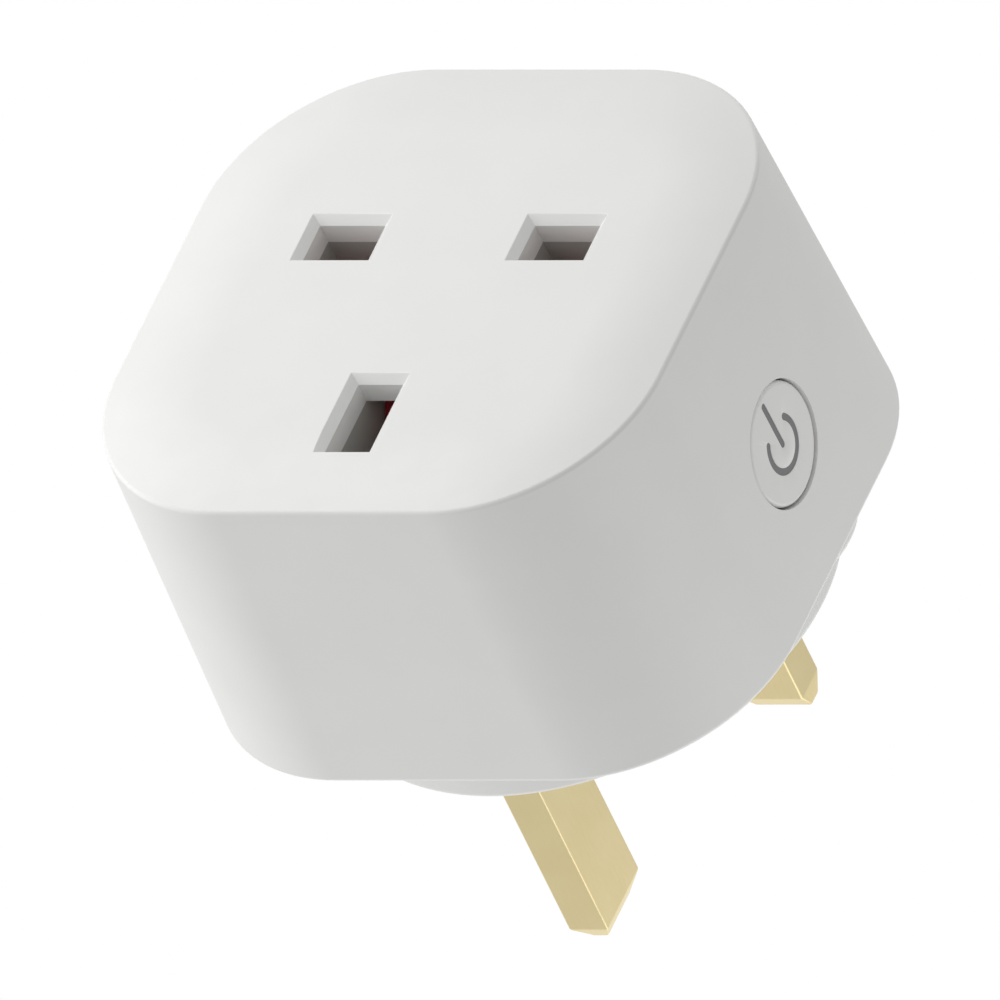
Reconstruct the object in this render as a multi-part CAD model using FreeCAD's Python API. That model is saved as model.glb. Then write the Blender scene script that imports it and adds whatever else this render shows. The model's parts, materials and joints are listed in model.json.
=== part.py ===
import FreeCAD, Part
import math
import os

from FreeCAD import Vector

# Smart plug for British 13 A sockets, drawn as it sits in a wall outlet.
# Millimetres. +Z is up, the socket face looks along -Y and the pins point along +Y.
# The origin is the centre of the round contact face that meets the wall outlet.
# "Depth" is the distance back from the socket face: y = depth - plug_depth.

# ---- Driving dimensions: housing ----
plug_depth = 40.8            # socket face to wall contact face
shell_depth = 34.5           # socket face to the rear rim of the front housing
front_half = 28.2            # half the width of the socket face
draft = 0.023                # outward lean of each side wall, per mm of depth
corner_radius = 17.4
front_edge_radius = 2.0
rear_edge_radius = 0.6
face_wall = 2.8              # thickness of the socket face
side_wall = 2.4
rim_wall = 1.8               # thinner wall round the rear cover
boss_radius = 24.75          # round part of the rear cover that meets the wall outlet
boss_wall = 2.2
boss_floor = 2.0
boss_edge_radius = 0.7
pad_end_radius = 9.7         # step pad behind the live and neutral pins
pad_half_length = 26.1
pad_setback = 2.2            # how far the pad stops short of the contact face
cover_plate_thickness = 2.2
cover_recess = 0.2           # rear plate below the rim of the front housing

# ---- Driving dimensions: pin layout, as the British standard sets it ----
pin_spacing = 22.23          # live to neutral, and earth to the live-neutral line
row_z = -5.75                # height of the live-neutral line
pin_thickness = 3.975
line_pin_width = 6.35
earth_pin_width = 7.925
line_pin_length = 17.7
earth_pin_length = 22.73
pin_tip_length = 1.9
pin_tip_chamfer = 1.1
pin_tip_side_chamfer = 0.2
sleeve_length = 9.0
sleeve_thickness = 0.55
pin_collar_margin = 1.4      # collar that keeps a pin from pulling out
pin_collar_thickness = 1.4
rivet_radius = 1.5
rivet_head_radius = 2.3
rivet_head_height = 0.6

# ---- Driving dimensions: socket apertures ----
line_hole_width = 6.76
line_hole_height = 4.36
earth_hole_width = 4.62
earth_hole_height = 8.53
hole_chamfer = 0.77
collar_wall = 1.2
line_collar_depth = 5.6
guide_depth = 12.9           # walls that guide the shutter ramp
guide_bottom_z = 3.0

guide_plate = 1.0            # plate that joins the collars, flat against the face wall
guide_plate_margin = 1.4
guide_pillar = 1.5           # half the width of the pillars that reach the carrier

# ---- Driving dimensions: shutter ----
shutter_travel = 5.0
shutter_overlap = 0.55       # blade beyond each edge of an aperture
blade_front = 5.9
blade_thickness = 1.6
ramp_front = 3.6
ramp_land = 0.45             # flat behind the top of the ramp
ramp_pin_gap = 0.2           # ramp below the earth pin when fully down
ramp_back_height = 5.0       # height of the ramp's back
ramp_web_rise = 2.5          # web between ramp and blades, above the guide's lower end
ramp_toe_height = 1.2
spring_radius = 1.9
spring_wire = 0.35
spring_turns = 8
spring_seat_z = -21.0
spring_peg_radius = 1.35
spring_peg_length = 2.0
spring_ledge_half = 3.2
spring_ledge_height = 2.0
spring_ledge_overhang = 1.5      # ledge in front of the blades

# ---- Driving dimensions: contact carrier and contacts ----
carrier_gap = 0.3            # blade to carrier
carrier_plate = 2.2
carrier_half_width = 18.0
carrier_top_z = 23.2
carrier_bottom_z = -23.4
carrier_corner_radius = 3.0
pocket_wall = 1.4
line_pocket_depth = 21.0
contact_thickness = 0.6
contact_grip = 0.14          # how far each leaf springs apart for a pin
contact_spread = 0.8
contact_pinch = 2.6          # mouth of a clip to its tightest place
contact_relax = 3.0          # from there to where its leaves are open again
contact_flare = 0.1          # open leaves past the mouth of a clip
line_contact_setback = 0.2
earth_contact_setback = 0.4
line_contact_width = 6.2
earth_contact_width = 6.6
line_contact_web = 19.4      # depth of the web that joins the two leaves
earth_contact_web = 24.2

# ---- Driving dimensions: button ----
button_depth = 20.5
button_radius = 5.73
button_gap = 0.2
button_recess = 0.1
button_edge_radius = 0.45
button_flange = 1.1
button_flange_thickness = 0.8
button_flange_gap = 0.45     # flange to the inside of the drafted wall
button_travel = 0.3
button_stem_radius = 2.0
icon_radius = 2.5
icon_stroke = 0.68
icon_half_gap_degrees = 50.0
icon_line_length = 4.65
icon_groove = 0.4
icon_sink = 0.05

# ---- Driving dimensions: circuit boards and parts on them ----
board_front = 30.0
board_thickness = 1.6
board_gap = 0.9              # board edge to the inside of the housing
post_position = 19.8         # corner posts, both ways from the centre
post_radius = 3.9
post_tip_radius = 2.6
radio_board_x = -19.0
radio_board_thickness = 1.0
radio_board_half_height = 11.0
radio_board_front = 12.0
switch_size = 6.0
switch_height = 3.4
switch_plunger_radius = 1.7
switch_plunger_height = 0.9
relay_length = 19.2
relay_width = 10.1
relay_height = 15.3
relay_base_height = 1.6
relay_z = -20.25
capacitor_radius = 4.0
capacitor_length = 11.5
capacitor_x = 21.0
capacitor_rows = (5.6, -4.0)
capacitor_edge_radius = 0.7
capacitor_crimp_front = 2.2      # crimp ring, measured from the board
capacitor_crimp_back = 1.6
capacitor_crimp_depth = 0.3
relay_edge_radius = 0.6
inductor_x = -11.2
inductor_z = 14.6
inductor_radius = 4.6
inductor_length = 9.0
inductor_flange = 1.2
inductor_core_radius = 2.07
inductor_winding_radius = 4.0
varistor_x = 11.4
varistor_z = 12.6
varistor_radius = 5.0
varistor_thickness = 3.8
varistor_edge_radius = 1.2
varistor_standoff = 6.0          # board to the middle of the disc
varistor_lead_radius = 0.4
varistor_half_pitch = 2.5
varistor_lead_length = 3.0
resistor_z = 3.6
resistor_radius = 1.8
resistor_half_length = 4.6
resistor_edge_radius = 0.7
resistor_height = 2.4            # board to the middle of the body
resistor_lead_radius = 0.35
resistor_half_pitch = 5.9
chip_standoff = 0.15
chip_edge = 0.25
chip_width = 3.9
chip_leg_width = 0.42
chip_leg_reach = 1.0
chip_leg_height = 0.5
shunt_half_length = 6.0
shunt_height = 3.2
shunt_strip = 0.8
shunt_front_z = -13.6
shunt_back_z = -12.0
shield_height = 2.4
shield_half_length = 8.0
shield_margin = 1.5              # front edge of the radio board to the can
shield_back = 24.5
shield_edge_radius = 0.5
header_size = 2.5
header_half_length = 8.9
header_pins = 7
header_pitch = 2.54
header_pin_size = 0.64
header_pin_end = 0.7
led_height = 0.7
led_width = 1.6
led_bottom_z = 4.4
led_top_z = 5.2
switch_floor = 1.0

# ---- Driving dimensions: straps, retainer and screws ----
strap_thickness = 0.8
strap_width = 6.0
line_leg_rise = 2.9          # strap legs above the live-neutral line
input_leg_drop = 3.4         # leg to the board below that line
earth_leg_rise = 5.2         # earth strap leg above the earth pin
front_flange_overlap = 2.0   # strap past the middle of a contact
rear_flange_overlap = 2.6    # strap past the middle of a pin
output_leg_past_board = 1.0
input_leg_past_board = 0.8
retainer_front = 34.2
retainer_thickness = 1.4
retainer_radius = 21.6
retainer_pad_width = 0.9
retainer_pad_height = 3.0
retainer_earth_pad_width = 0.5
retainer_earth_pad_drop = 3.0
cover_screw_radius = 1.25
cover_screw_head_radius = 2.5
cover_screw_head_height = 1.4
cover_screw_length = 9.0
small_screw_radius = 1.0
small_screw_head_radius = 2.1
small_screw_head_height = 1.2
small_post_wall = 0.5        # posts of the small screws, past the heads
retainer_screw_grip = 2.6
carrier_screw_gap = 1.0      # socket face wall to the ends of the carrier screws

# ---- Clearances ----
fit_gap = 0.05               # round a piece held in a hole
slide_gap = 0.15             # beside a sliding piece
cover_gap = 0.15             # rear cover inside the rim
clear_gap = 0.3              # between pieces that must not touch

# ---- Places worked out from the dimensions above ----
line_x = pin_spacing / 2
earth_z = row_z + pin_spacing
post_places = [(sx * post_position, sz * post_position) for sx in (-1, 1) for sz in (-1, 1)]
carrier_front = blade_front + blade_thickness + carrier_gap
carrier_back = carrier_front + carrier_plate
carrier_post_radius = small_screw_head_radius + small_post_wall
carrier_post_places = [(-10.5, 9.0), (10.5, 9.0), (-11.0, -19.0), (11.0, -19.0)]
retainer_post_places = [(0.0, -16.0), (-13.5, 9.0), (13.5, 9.0)]
cover_back = shell_depth - cover_recess
cover_front = cover_back - cover_plate_thickness
board_back = board_front + board_thickness
floor_front = plug_depth - boss_floor
earth_pocket_depth = earth_contact_web + contact_thickness
collar_front = floor_front - pin_collar_thickness
strap_front = collar_front - strap_thickness
neutral_leg_z = row_z + line_leg_rise
output_leg_z = row_z + line_leg_rise
input_leg_z = row_z - input_leg_drop
earth_leg_z = earth_z + earth_leg_rise
output_leg_back = board_back + output_leg_past_board
input_leg_front = board_front - input_leg_past_board
button_wall_x = -(front_half + draft * button_depth)
radio_board_outer_x = radio_board_x - radio_board_thickness


# ---- Shape helpers ----

def y_at(depth):
    return depth - plug_depth


def block(x0, x1, d0, d1, z0, z1):
    """Box between two x values, two depths and two heights."""
    return Part.makeBox(x1 - x0, d1 - d0, z1 - z0, Vector(x0, y_at(d0), z0))


def block_at(x, z, width, height, d0, d1):
    """Box centred on (x, z) between two depths."""
    return block(x - width / 2, x + width / 2, d0, d1, z - height / 2, z + height / 2)


def rod(x, z, radius, d0, d1):
    """Cylinder along the depth."""
    return Part.makeCylinder(radius, d1 - d0, Vector(x, y_at(d0), z), Vector(0, 1, 0))


def side_rod(depth, z, radius, x0, x1):
    """Cylinder along X."""
    return Part.makeCylinder(radius, x1 - x0, Vector(x0, y_at(depth), z), Vector(1, 0, 0))


def rounded_outline(half_x, half_z, radius, depth, x=0.0, z=0.0):
    """Closed wire of a rectangle with round corners, square to the depth."""
    y = y_at(depth)
    edges = []
    centres = [(1, 1), (-1, 1), (-1, -1), (1, -1)]
    ends = []
    for turn, (sx, sz) in enumerate(centres):
        cx = x + sx * (half_x - radius)
        cz = z + sz * (half_z - radius)
        points = []
        for step in range(3):
            angle = math.radians(90 * turn + 45 * step)
            points.append(Vector(cx + radius * math.cos(angle), y, cz + radius * math.sin(angle)))
        ends.append((points[0], points[2]))
        edges.append(Part.Arc(*points).toShape())
    sides = []
    for turn in range(4):
        start = ends[turn][1]
        finish = ends[(turn + 1) % 4][0]
        if start.distanceToPoint(finish) > 1e-6:
            sides.append(Part.makeLine(start, finish))
    return Part.Wire(Part.__sortEdges__(edges + sides))


def rounded_block(half_x, half_z, radius, d0, d1, x=0.0, z=0.0):
    face = Part.Face(rounded_outline(half_x, half_z, radius, d0, x, z))
    return face.extrude(Vector(0, d1 - d0, 0))


def rectangle(x, z, width, height, depth):
    y = y_at(depth)
    corners = [(-1, -1), (1, -1), (1, 1), (-1, 1), (-1, -1)]
    return Part.makePolygon([Vector(x + sx * width / 2, y, z + sz * height / 2) for sx, sz in corners])


def taper(x, z, size0, d0, size1, d1):
    """Rectangular frustum from one (width, height) to another."""
    ends = [rectangle(x, z, *size0, d0), rectangle(x, z, *size1, d1)]
    return Part.makeLoft(ends, True, True)


def housing_block(inset, d0, d1):
    """The drafted rounded square of the housing, moved in by a wall thickness."""
    ends = []
    for depth in (d0, d1):
        half = front_half + draft * depth - inset
        ends.append(rounded_outline(half, half, corner_radius - inset, depth))
    return Part.makeLoft(ends, True, True)


def profile_along_x(points, x0, x1):
    """Solid from a closed outline of (depth, z) points."""
    outline = [Vector(x0, y_at(depth), z) for depth, z in points]
    face = Part.Face(Part.makePolygon(outline + outline[:1]))
    return face.extrude(Vector(x1 - x0, 0, 0))


def profile_along_z(points, z0, z1):
    """Solid from a closed outline of (depth, x) points."""
    outline = [Vector(x, y_at(depth), z0) for depth, x in points]
    face = Part.Face(Part.makePolygon(outline + outline[:1]))
    return face.extrude(Vector(0, 0, z1 - z0))


def joined(shapes):
    return shapes[0].multiFuse(shapes[1:]).removeSplitter()


def group(shapes):
    return Part.makeCompound(shapes)


def edges_at_depth(shape, depth):
    y = y_at(depth)
    return [edge for edge in shape.Edges
            if abs(edge.BoundBox.YMin - y) < 1e-4 and abs(edge.BoundBox.YMax - y) < 1e-4]


def edges_at_x(shape, x):
    return [edge for edge in shape.Edges
            if abs(edge.BoundBox.XMin - x) < 1e-4 and abs(edge.BoundBox.XMax - x) < 1e-4]


def screw(x, z, radius, head_radius, head_height, length, seat, towards_front=True):
    """Pan screw with a cross recess; its head bears on the depth 'seat'."""
    way = -1 if towards_front else 1
    head = rod(x, z, head_radius, *sorted((seat, seat - way * head_height)))
    head = head.makeFillet(0.3 * head_height, edges_at_depth(head, seat - way * head_height))
    shank = rod(x, z, radius, *sorted((seat, seat + way * length)))
    top = seat - way * head_height
    slot = 0.22 * head_radius
    recess_depth = 0.5 * head_height
    recess = []
    for width, height in ((slot, 1.3 * head_radius), (1.3 * head_radius, slot)):
        recess.append(block_at(x, z, width, height, *sorted((top, top + way * recess_depth))))
    return joined([head, shank]).cut(joined(recess))


# ---- Housing ----

def shell_body():
    body = housing_block(0.0, 0.0, shell_depth)
    body = body.makeFillet(front_edge_radius, edges_at_depth(body, 0.0))
    return body.makeFillet(rear_edge_radius, edges_at_depth(body, shell_depth))


def socket_hole(x, z, width, height):
    """Aperture through the socket face, with a chamfered mouth."""
    mouth_size = (width + 2 * hole_chamfer, height + 2 * hole_chamfer)
    mouth = taper(x, z, mouth_size, 0.0, (width, height), hole_chamfer)
    lead = block_at(x, z, *mouth_size, -1.0, 0.0)
    channel = block_at(x, z, width, height, hole_chamfer, face_wall)
    return joined([lead, mouth, channel])


def housing_cavity():
    inside = housing_block(side_wall, face_wall, shell_depth)
    rim = housing_block(rim_wall, cover_front - clear_gap, shell_depth + 1.0)
    return joined([inside, rim])


def corner_posts():
    posts = []
    for x, z in post_places:
        posts.append(rod(x, z, post_radius, face_wall, board_front))
        posts.append(rod(x, z, post_tip_radius, board_front, cover_front))
    return joined(posts)


def front_housing():
    body = shell_body().cut(housing_cavity())
    posts = corner_posts().common(shell_body())
    carrier_posts = [rod(x, z, carrier_post_radius, face_wall, carrier_front)
                     for x, z in carrier_post_places]
    body = joined([body, posts] + carrier_posts)
    cuts = [socket_hole(x, row_z, line_hole_width, line_hole_height) for x in (-line_x, line_x)]
    cuts.append(socket_hole(0.0, earth_z, earth_hole_width, earth_hole_height))
    cuts.append(side_rod(button_depth, 0.0, button_radius + button_gap,
                         button_wall_x - 2.0, button_wall_x + side_wall + 2.0))
    for x, z in post_places:
        cuts.append(rod(x, z, cover_screw_radius + fit_gap,
                        cover_front - cover_screw_length, cover_front))
    for x, z in carrier_post_places:
        cuts.append(rod(x, z, small_screw_radius + fit_gap, face_wall + 0.6, carrier_front))
    return body.cut(joined(cuts))


def shutter_guide():
    """Plate behind the socket face with a collar round each line aperture, and walls round the
    earth aperture that are open below for the shutter ramp."""
    half_x = line_x + line_hole_width / 2 + collar_wall
    low = row_z - line_hole_height / 2 - guide_plate_margin
    top = earth_z + earth_hole_height / 2
    high = top + guide_plate_margin
    plate = rounded_block(half_x, (high - low) / 2, guide_plate_margin, face_wall,
                          face_wall + guide_plate, 0.0, (high + low) / 2)
    half_slot = earth_hole_width / 2
    walls = block(-half_slot - collar_wall, half_slot + collar_wall, face_wall, guide_depth,
                  guide_bottom_z, top + collar_wall)
    solids = [plate, walls]
    cuts = [block(-half_slot, half_slot, face_wall, guide_depth,
                  guide_bottom_z - shutter_travel, top)]
    for x in (-line_x, line_x):
        solids.append(block_at(x, row_z, line_hole_width + 2 * collar_wall,
                               line_hole_height + 2 * collar_wall, face_wall, line_collar_depth))
        cuts.append(block_at(x, row_z, line_hole_width, line_hole_height,
                             face_wall, line_collar_depth))
    for x, z in carrier_post_places:
        if z > low:
            cuts.append(rod(x, z, carrier_post_radius + slide_gap, face_wall,
                            face_wall + guide_plate))
    pillar_x = half_x - guide_pillar - 0.4
    for x in (-pillar_x, pillar_x):
        solids.append(block_at(x, 1.5, 2 * guide_pillar, 2 * guide_pillar, face_wall, carrier_front))
        solids.append(block_at(math.copysign(8.0, x), earth_z + 2.0, 2 * guide_pillar,
                               2 * guide_pillar, face_wall, carrier_front))
    return joined(solids).cut(joined(cuts))


def pin_slots():
    gap = 2 * fit_gap
    slots = [block_at(x, row_z, line_pin_width + gap, pin_thickness + gap, floor_front, plug_depth)
             for x in (-line_x, line_x)]
    slots.append(block_at(0.0, earth_z, pin_thickness + gap, earth_pin_width + gap,
                          floor_front, plug_depth))
    return joined(slots)


def rear_cover():
    half = front_half + draft * cover_back - rim_wall - cover_gap
    radius = corner_radius - rim_wall - cover_gap
    plate = rounded_block(half, half, radius, cover_front, cover_back)
    boss = rod(0.0, 0.0, boss_radius, cover_front, plug_depth)
    boss = boss.makeFillet(boss_edge_radius, edges_at_depth(boss, plug_depth))
    pad_depth = plug_depth - pad_setback
    pad = rounded_block(pad_half_length, pad_end_radius, pad_end_radius - 1e-3,
                        cover_front, pad_depth, 0.0, row_z)
    pad = pad.makeFillet(boss_edge_radius, edges_at_depth(pad, pad_depth))
    inside = rod(0.0, 0.0, boss_radius - boss_wall, cover_front, floor_front)
    body = joined([plate, boss, pad]).cut(inside)
    retainer_back = retainer_front + retainer_thickness
    posts = [rod(x, z, carrier_post_radius, retainer_back, floor_front)
             for x, z in retainer_post_places]
    body = joined([body] + posts)
    cuts = [pin_slots()]
    seat = cover_back - cover_screw_head_height
    for x, z in post_places:
        cuts.append(rod(x, z, cover_screw_radius + clear_gap, cover_front, cover_back))
        cuts.append(rod(x, z, cover_screw_head_radius + clear_gap, seat, cover_back))
    for x, z in retainer_post_places:
        cuts.append(rod(x, z, small_screw_radius + fit_gap, retainer_back, plug_depth - 1.0))
    return body.cut(joined(cuts))


def cover_screws():
    seat = cover_back - cover_screw_head_height
    return group([screw(x, z, cover_screw_radius, cover_screw_head_radius, cover_screw_head_height,
                        cover_screw_length - 1.0, seat) for x, z in post_places])


# ---- Pins ----

def pin_tip(x, z, width, height, wide_chamfer, high_chamfer, end):
    """Tapered last stretch of a pin."""
    narrow = (width - 2 * wide_chamfer, height - 2 * high_chamfer)
    return taper(x, z, (width, height), end - pin_tip_length, narrow, end)


def pin_root(x, z, width, height):
    """Collar behind the cover floor, with a stub riveted over the strap."""
    collar = block_at(x, z, width + 2 * pin_collar_margin, height + 2 * pin_collar_margin,
                      collar_front, floor_front)
    stub = rod(x, z, rivet_radius, strap_front, collar_front)
    head = rod(x, z, rivet_head_radius, strap_front - rivet_head_height, strap_front)
    head = head.makeFillet(0.4 * rivet_head_height,
                           edges_at_depth(head, strap_front - rivet_head_height))
    return [collar, stub, head]


def earth_pin():
    end = plug_depth + earth_pin_length
    shaft = block_at(0.0, earth_z, pin_thickness, earth_pin_width, floor_front, end - pin_tip_length)
    tip = pin_tip(0.0, earth_z, pin_thickness, earth_pin_width,
                  pin_tip_chamfer, pin_tip_chamfer, end)
    return joined([shaft, tip] + pin_root(0.0, earth_z, pin_thickness, earth_pin_width))


def line_pin(x):
    end = plug_depth + line_pin_length
    sleeve_end = plug_depth + sleeve_length
    inner_size = (line_pin_width - 2 * sleeve_thickness, pin_thickness - 2 * sleeve_thickness)
    neck = block_at(x, row_z, *inner_size, floor_front, sleeve_end)
    shaft = block_at(x, row_z, line_pin_width, pin_thickness, sleeve_end, end - pin_tip_length)
    tip = pin_tip(x, row_z, line_pin_width, pin_thickness,
                  pin_tip_side_chamfer, pin_tip_chamfer, end)
    return joined([neck, shaft, tip] + pin_root(x, row_z, line_pin_width, pin_thickness))


def pin_sleeve(x):
    outer = block_at(x, row_z, line_pin_width, pin_thickness, floor_front, plug_depth + sleeve_length)
    inner = block_at(x, row_z, line_pin_width - 2 * sleeve_thickness,
                     pin_thickness - 2 * sleeve_thickness, floor_front, plug_depth + sleeve_length)
    return outer.cut(inner)


# ---- Shutter ----

def blade_top_z():
    return row_z + line_hole_height / 2 + shutter_overlap


def blade_bottom_z():
    return row_z - line_hole_height / 2 - shutter_overlap


def ramp_top_z():
    return earth_z - earth_pin_width / 2 + shutter_travel - ramp_pin_gap


def shutter():
    """Two blades on a cross bar, and a 45 degree ramp that the earth pin pushes down."""
    blade_back = blade_front + blade_thickness
    half_bar = line_x + line_hole_width / 2 + shutter_overlap
    bar = block(-half_bar, half_bar, blade_front, blade_back, blade_bottom_z(), blade_top_z())
    top = ramp_top_z()
    ramp_depth = guide_depth - slide_gap - ramp_front - ramp_land
    toe = top - ramp_depth
    back = guide_depth - slide_gap
    outline = [
        (ramp_front, toe),
        (back - ramp_land, top),
        (back, top),
        (back, top - ramp_back_height),
        (blade_back, guide_bottom_z + ramp_web_rise),
        (blade_back, blade_bottom_z()),
        (blade_front, blade_bottom_z()),
        (blade_front, guide_bottom_z + ramp_web_rise),
        (ramp_front, toe - ramp_toe_height),
    ]
    half_ramp = earth_hole_width / 2 - slide_gap
    stem = profile_along_x(outline, -half_ramp, half_ramp)
    middle = y_at(blade_front + blade_thickness / 2)
    peg_start = Vector(0.0, middle, blade_bottom_z() - spring_peg_length)
    half_peg = min(spring_peg_radius, blade_thickness / 2 - 0.02)
    peg = Part.makeCylinder(half_peg, spring_peg_length + 0.5, peg_start)
    return joined([bar, stem, peg])


def shutter_spring():
    """Coil of half turns, each a half ring tilted to climb by half the pitch."""
    height = blade_bottom_z() - spring_seat_z - spring_wire
    climb = height / spring_turns / 2
    middle = y_at(blade_front + blade_thickness / 2)
    start_z = spring_seat_z + spring_wire / 2
    halves = []
    for index in range(2 * spring_turns):
        side = 1 if index % 2 == 0 else -1
        z = start_z + index * climb
        start = Vector(side * spring_radius, middle, z)
        section = Part.Face(Part.Wire(Part.makeCircle(spring_wire / 2, start, Vector(0, 1, 0))))
        centre = Vector(0.0, middle, z + climb / 2)
        axis = Vector(side * climb, 0.0, 2 * spring_radius)
        halves.append(section.revolve(centre, axis, 180))
    return joined(halves)


# ---- Contact carrier and contacts ----

def contact_half_depth():
    """Middle of a contact clip to the outside of its open leaves."""
    return pin_thickness / 2 + contact_spread + contact_thickness


def spring_seat():
    """Ledge and peg that hold the lower end of the shutter spring."""
    ledge = block(-spring_ledge_half, spring_ledge_half, blade_front - spring_ledge_overhang,
                  carrier_front, spring_seat_z - spring_ledge_height, spring_seat_z)
    middle = y_at(blade_front + blade_thickness / 2)
    peg = Part.makeCylinder(spring_peg_radius, spring_peg_length, Vector(0.0, middle, spring_seat_z))
    return [ledge, peg]


def contact_carrier():
    plate_half_z = (carrier_top_z - carrier_bottom_z) / 2
    plate_z = (carrier_top_z + carrier_bottom_z) / 2
    plate = rounded_block(carrier_half_width, plate_half_z, carrier_corner_radius,
                          carrier_front, carrier_back, 0.0, plate_z)
    line_half_z = contact_half_depth() + slide_gap
    line_half_x = line_contact_width / 2 + slide_gap
    earth_half_x = contact_half_depth() + slide_gap
    earth_half_z = earth_contact_width / 2 + slide_gap
    solids = [plate]
    cuts = []
    for x in (-line_x, line_x):
        solids.append(block_at(x, row_z, 2 * (line_half_x + pocket_wall),
                               2 * (line_half_z + pocket_wall), carrier_back, line_pocket_depth))
        cuts.append(block_at(x, row_z, line_hole_width, line_hole_height,
                             carrier_front, carrier_back))
        cuts.append(block_at(x, row_z, 2 * line_half_x, 2 * line_half_z,
                             carrier_back, line_pocket_depth))
    solids.append(block_at(0.0, earth_z, 2 * (earth_half_x + pocket_wall),
                           2 * (earth_half_z + pocket_wall), carrier_back, earth_pocket_depth))
    cuts.append(block_at(0.0, earth_z, 2 * earth_half_x, 2 * earth_half_z,
                         guide_depth, earth_pocket_depth))
    guide_half = earth_hole_width / 2 + collar_wall + slide_gap
    guide_top = earth_z + earth_hole_height / 2 + collar_wall + slide_gap
    cuts.append(block(-guide_half, guide_half, carrier_front, guide_depth + slide_gap,
                      guide_bottom_z - shutter_travel, guide_top))
    spring_half = spring_radius + spring_wire + slide_gap
    blade_middle = blade_front + blade_thickness / 2
    cuts.append(block(-spring_half, spring_half, carrier_front, blade_middle + spring_half,
                      spring_seat_z, blade_bottom_z() + 1.0))
    for x, z in carrier_post_places:
        cuts.append(rod(x, z, small_screw_radius + slide_gap, carrier_front, carrier_back))
    for x, z in post_places:
        cuts.append(rod(x, z, post_radius + clear_gap, carrier_front, carrier_back))
    body = joined(solids).cut(joined(cuts))
    return joined([body] + spring_seat())


def leaf_outline(mouth, web, sign):
    """One leaf of a contact clip, as (depth, offset) points of a bent strip."""
    grip = pin_thickness / 2 - contact_grip
    open_half = pin_thickness / 2 + contact_spread
    thickness = contact_thickness
    pinch = mouth + contact_pinch
    relax = pinch + contact_relax
    inner = [(mouth, open_half - contact_flare), (pinch, grip), (relax, open_half), (web, open_half)]
    outer = [(depth, offset + thickness) for depth, offset in reversed(inner)]
    return [(depth, sign * offset) for depth, offset in inner + outer]


def line_contact(x):
    mouth = carrier_back + line_contact_setback
    z_profile = []
    for sign in (-1, 1):
        points = [(d, row_z + offset) for d, offset in leaf_outline(mouth, line_contact_web, sign)]
        z_profile.append(profile_along_x(points, x - line_contact_width / 2,
                                         x + line_contact_width / 2))
    half = contact_half_depth()
    web = block_at(x, row_z, line_contact_width, 2 * half,
                   line_contact_web, line_contact_web + contact_thickness)
    return joined(z_profile + [web])


def earth_contact():
    mouth = guide_depth + earth_contact_setback
    leaves = []
    for sign in (-1, 1):
        points = leaf_outline(mouth, earth_contact_web, sign)
        leaves.append(profile_along_z(points, earth_z - earth_contact_width / 2,
                                      earth_z + earth_contact_width / 2))
    half = contact_half_depth()
    web = block_at(0.0, earth_z, 2 * half, earth_contact_width,
                   earth_contact_web, earth_contact_web + contact_thickness)
    return joined(leaves + [web])


def carrier_screws():
    return group([screw(x, z, small_screw_radius, small_screw_head_radius, small_screw_head_height,
                        carrier_back - face_wall - carrier_screw_gap, carrier_back)
                  for x, z in carrier_post_places])


# ---- Straps behind the contacts and pins ----

def strap_leg(x, z, d0, d1):
    return block_at(x, z, strap_width, strap_thickness, d0, d1)


def front_flange(x, z, leg_z, contact_back):
    low, high = sorted((z - math.copysign(front_flange_overlap, leg_z - z), leg_z + math.copysign(
        strap_thickness / 2, leg_z - z)))
    return block(x - strap_width / 2, x + strap_width / 2, contact_back,
                 contact_back + strap_thickness, low, high)


def rear_flange(x, z, leg_z):
    low, high = sorted((z - math.copysign(rear_flange_overlap, leg_z - z), leg_z + math.copysign(
        strap_thickness / 2, leg_z - z)))
    flange = block(x - strap_width / 2, x + strap_width / 2, strap_front, collar_front, low, high)
    return flange.cut(rod(x, z, rivet_radius + fit_gap, strap_front, collar_front))


def through_strap(x, z, leg_z, contact_back):
    """Strap from the back of a socket contact to the root of a pin."""
    leg = strap_leg(x, leg_z, contact_back, collar_front)
    return joined([front_flange(x, z, leg_z, contact_back), rear_flange(x, z, leg_z), leg])


def neutral_strap():
    return through_strap(-line_x, row_z, neutral_leg_z, line_contact_web + contact_thickness)


def earth_strap():
    return through_strap(0.0, earth_z, earth_leg_z, earth_contact_web + contact_thickness)


def live_input_strap():
    """From the live pin forward to the control board."""
    leg = strap_leg(line_x, input_leg_z, input_leg_front, collar_front)
    return joined([rear_flange(line_x, row_z, input_leg_z), leg])


def live_output_strap():
    """From the control board forward to the live socket contact."""
    contact_back = line_contact_web + contact_thickness
    leg = strap_leg(line_x, output_leg_z, contact_back, output_leg_back)
    return joined([front_flange(line_x, row_z, output_leg_z, contact_back), leg])


def strap_slots(d0, d1):
    """Clearance round every strap leg between two depths."""
    places = [(-line_x, neutral_leg_z), (line_x, output_leg_z), (line_x, input_leg_z),
              (0.0, earth_leg_z)]
    width = strap_width + 2 * clear_gap
    height = strap_thickness + 2 * clear_gap
    return joined([block_at(x, z, width, height, d0, d1) for x, z in places])


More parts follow.
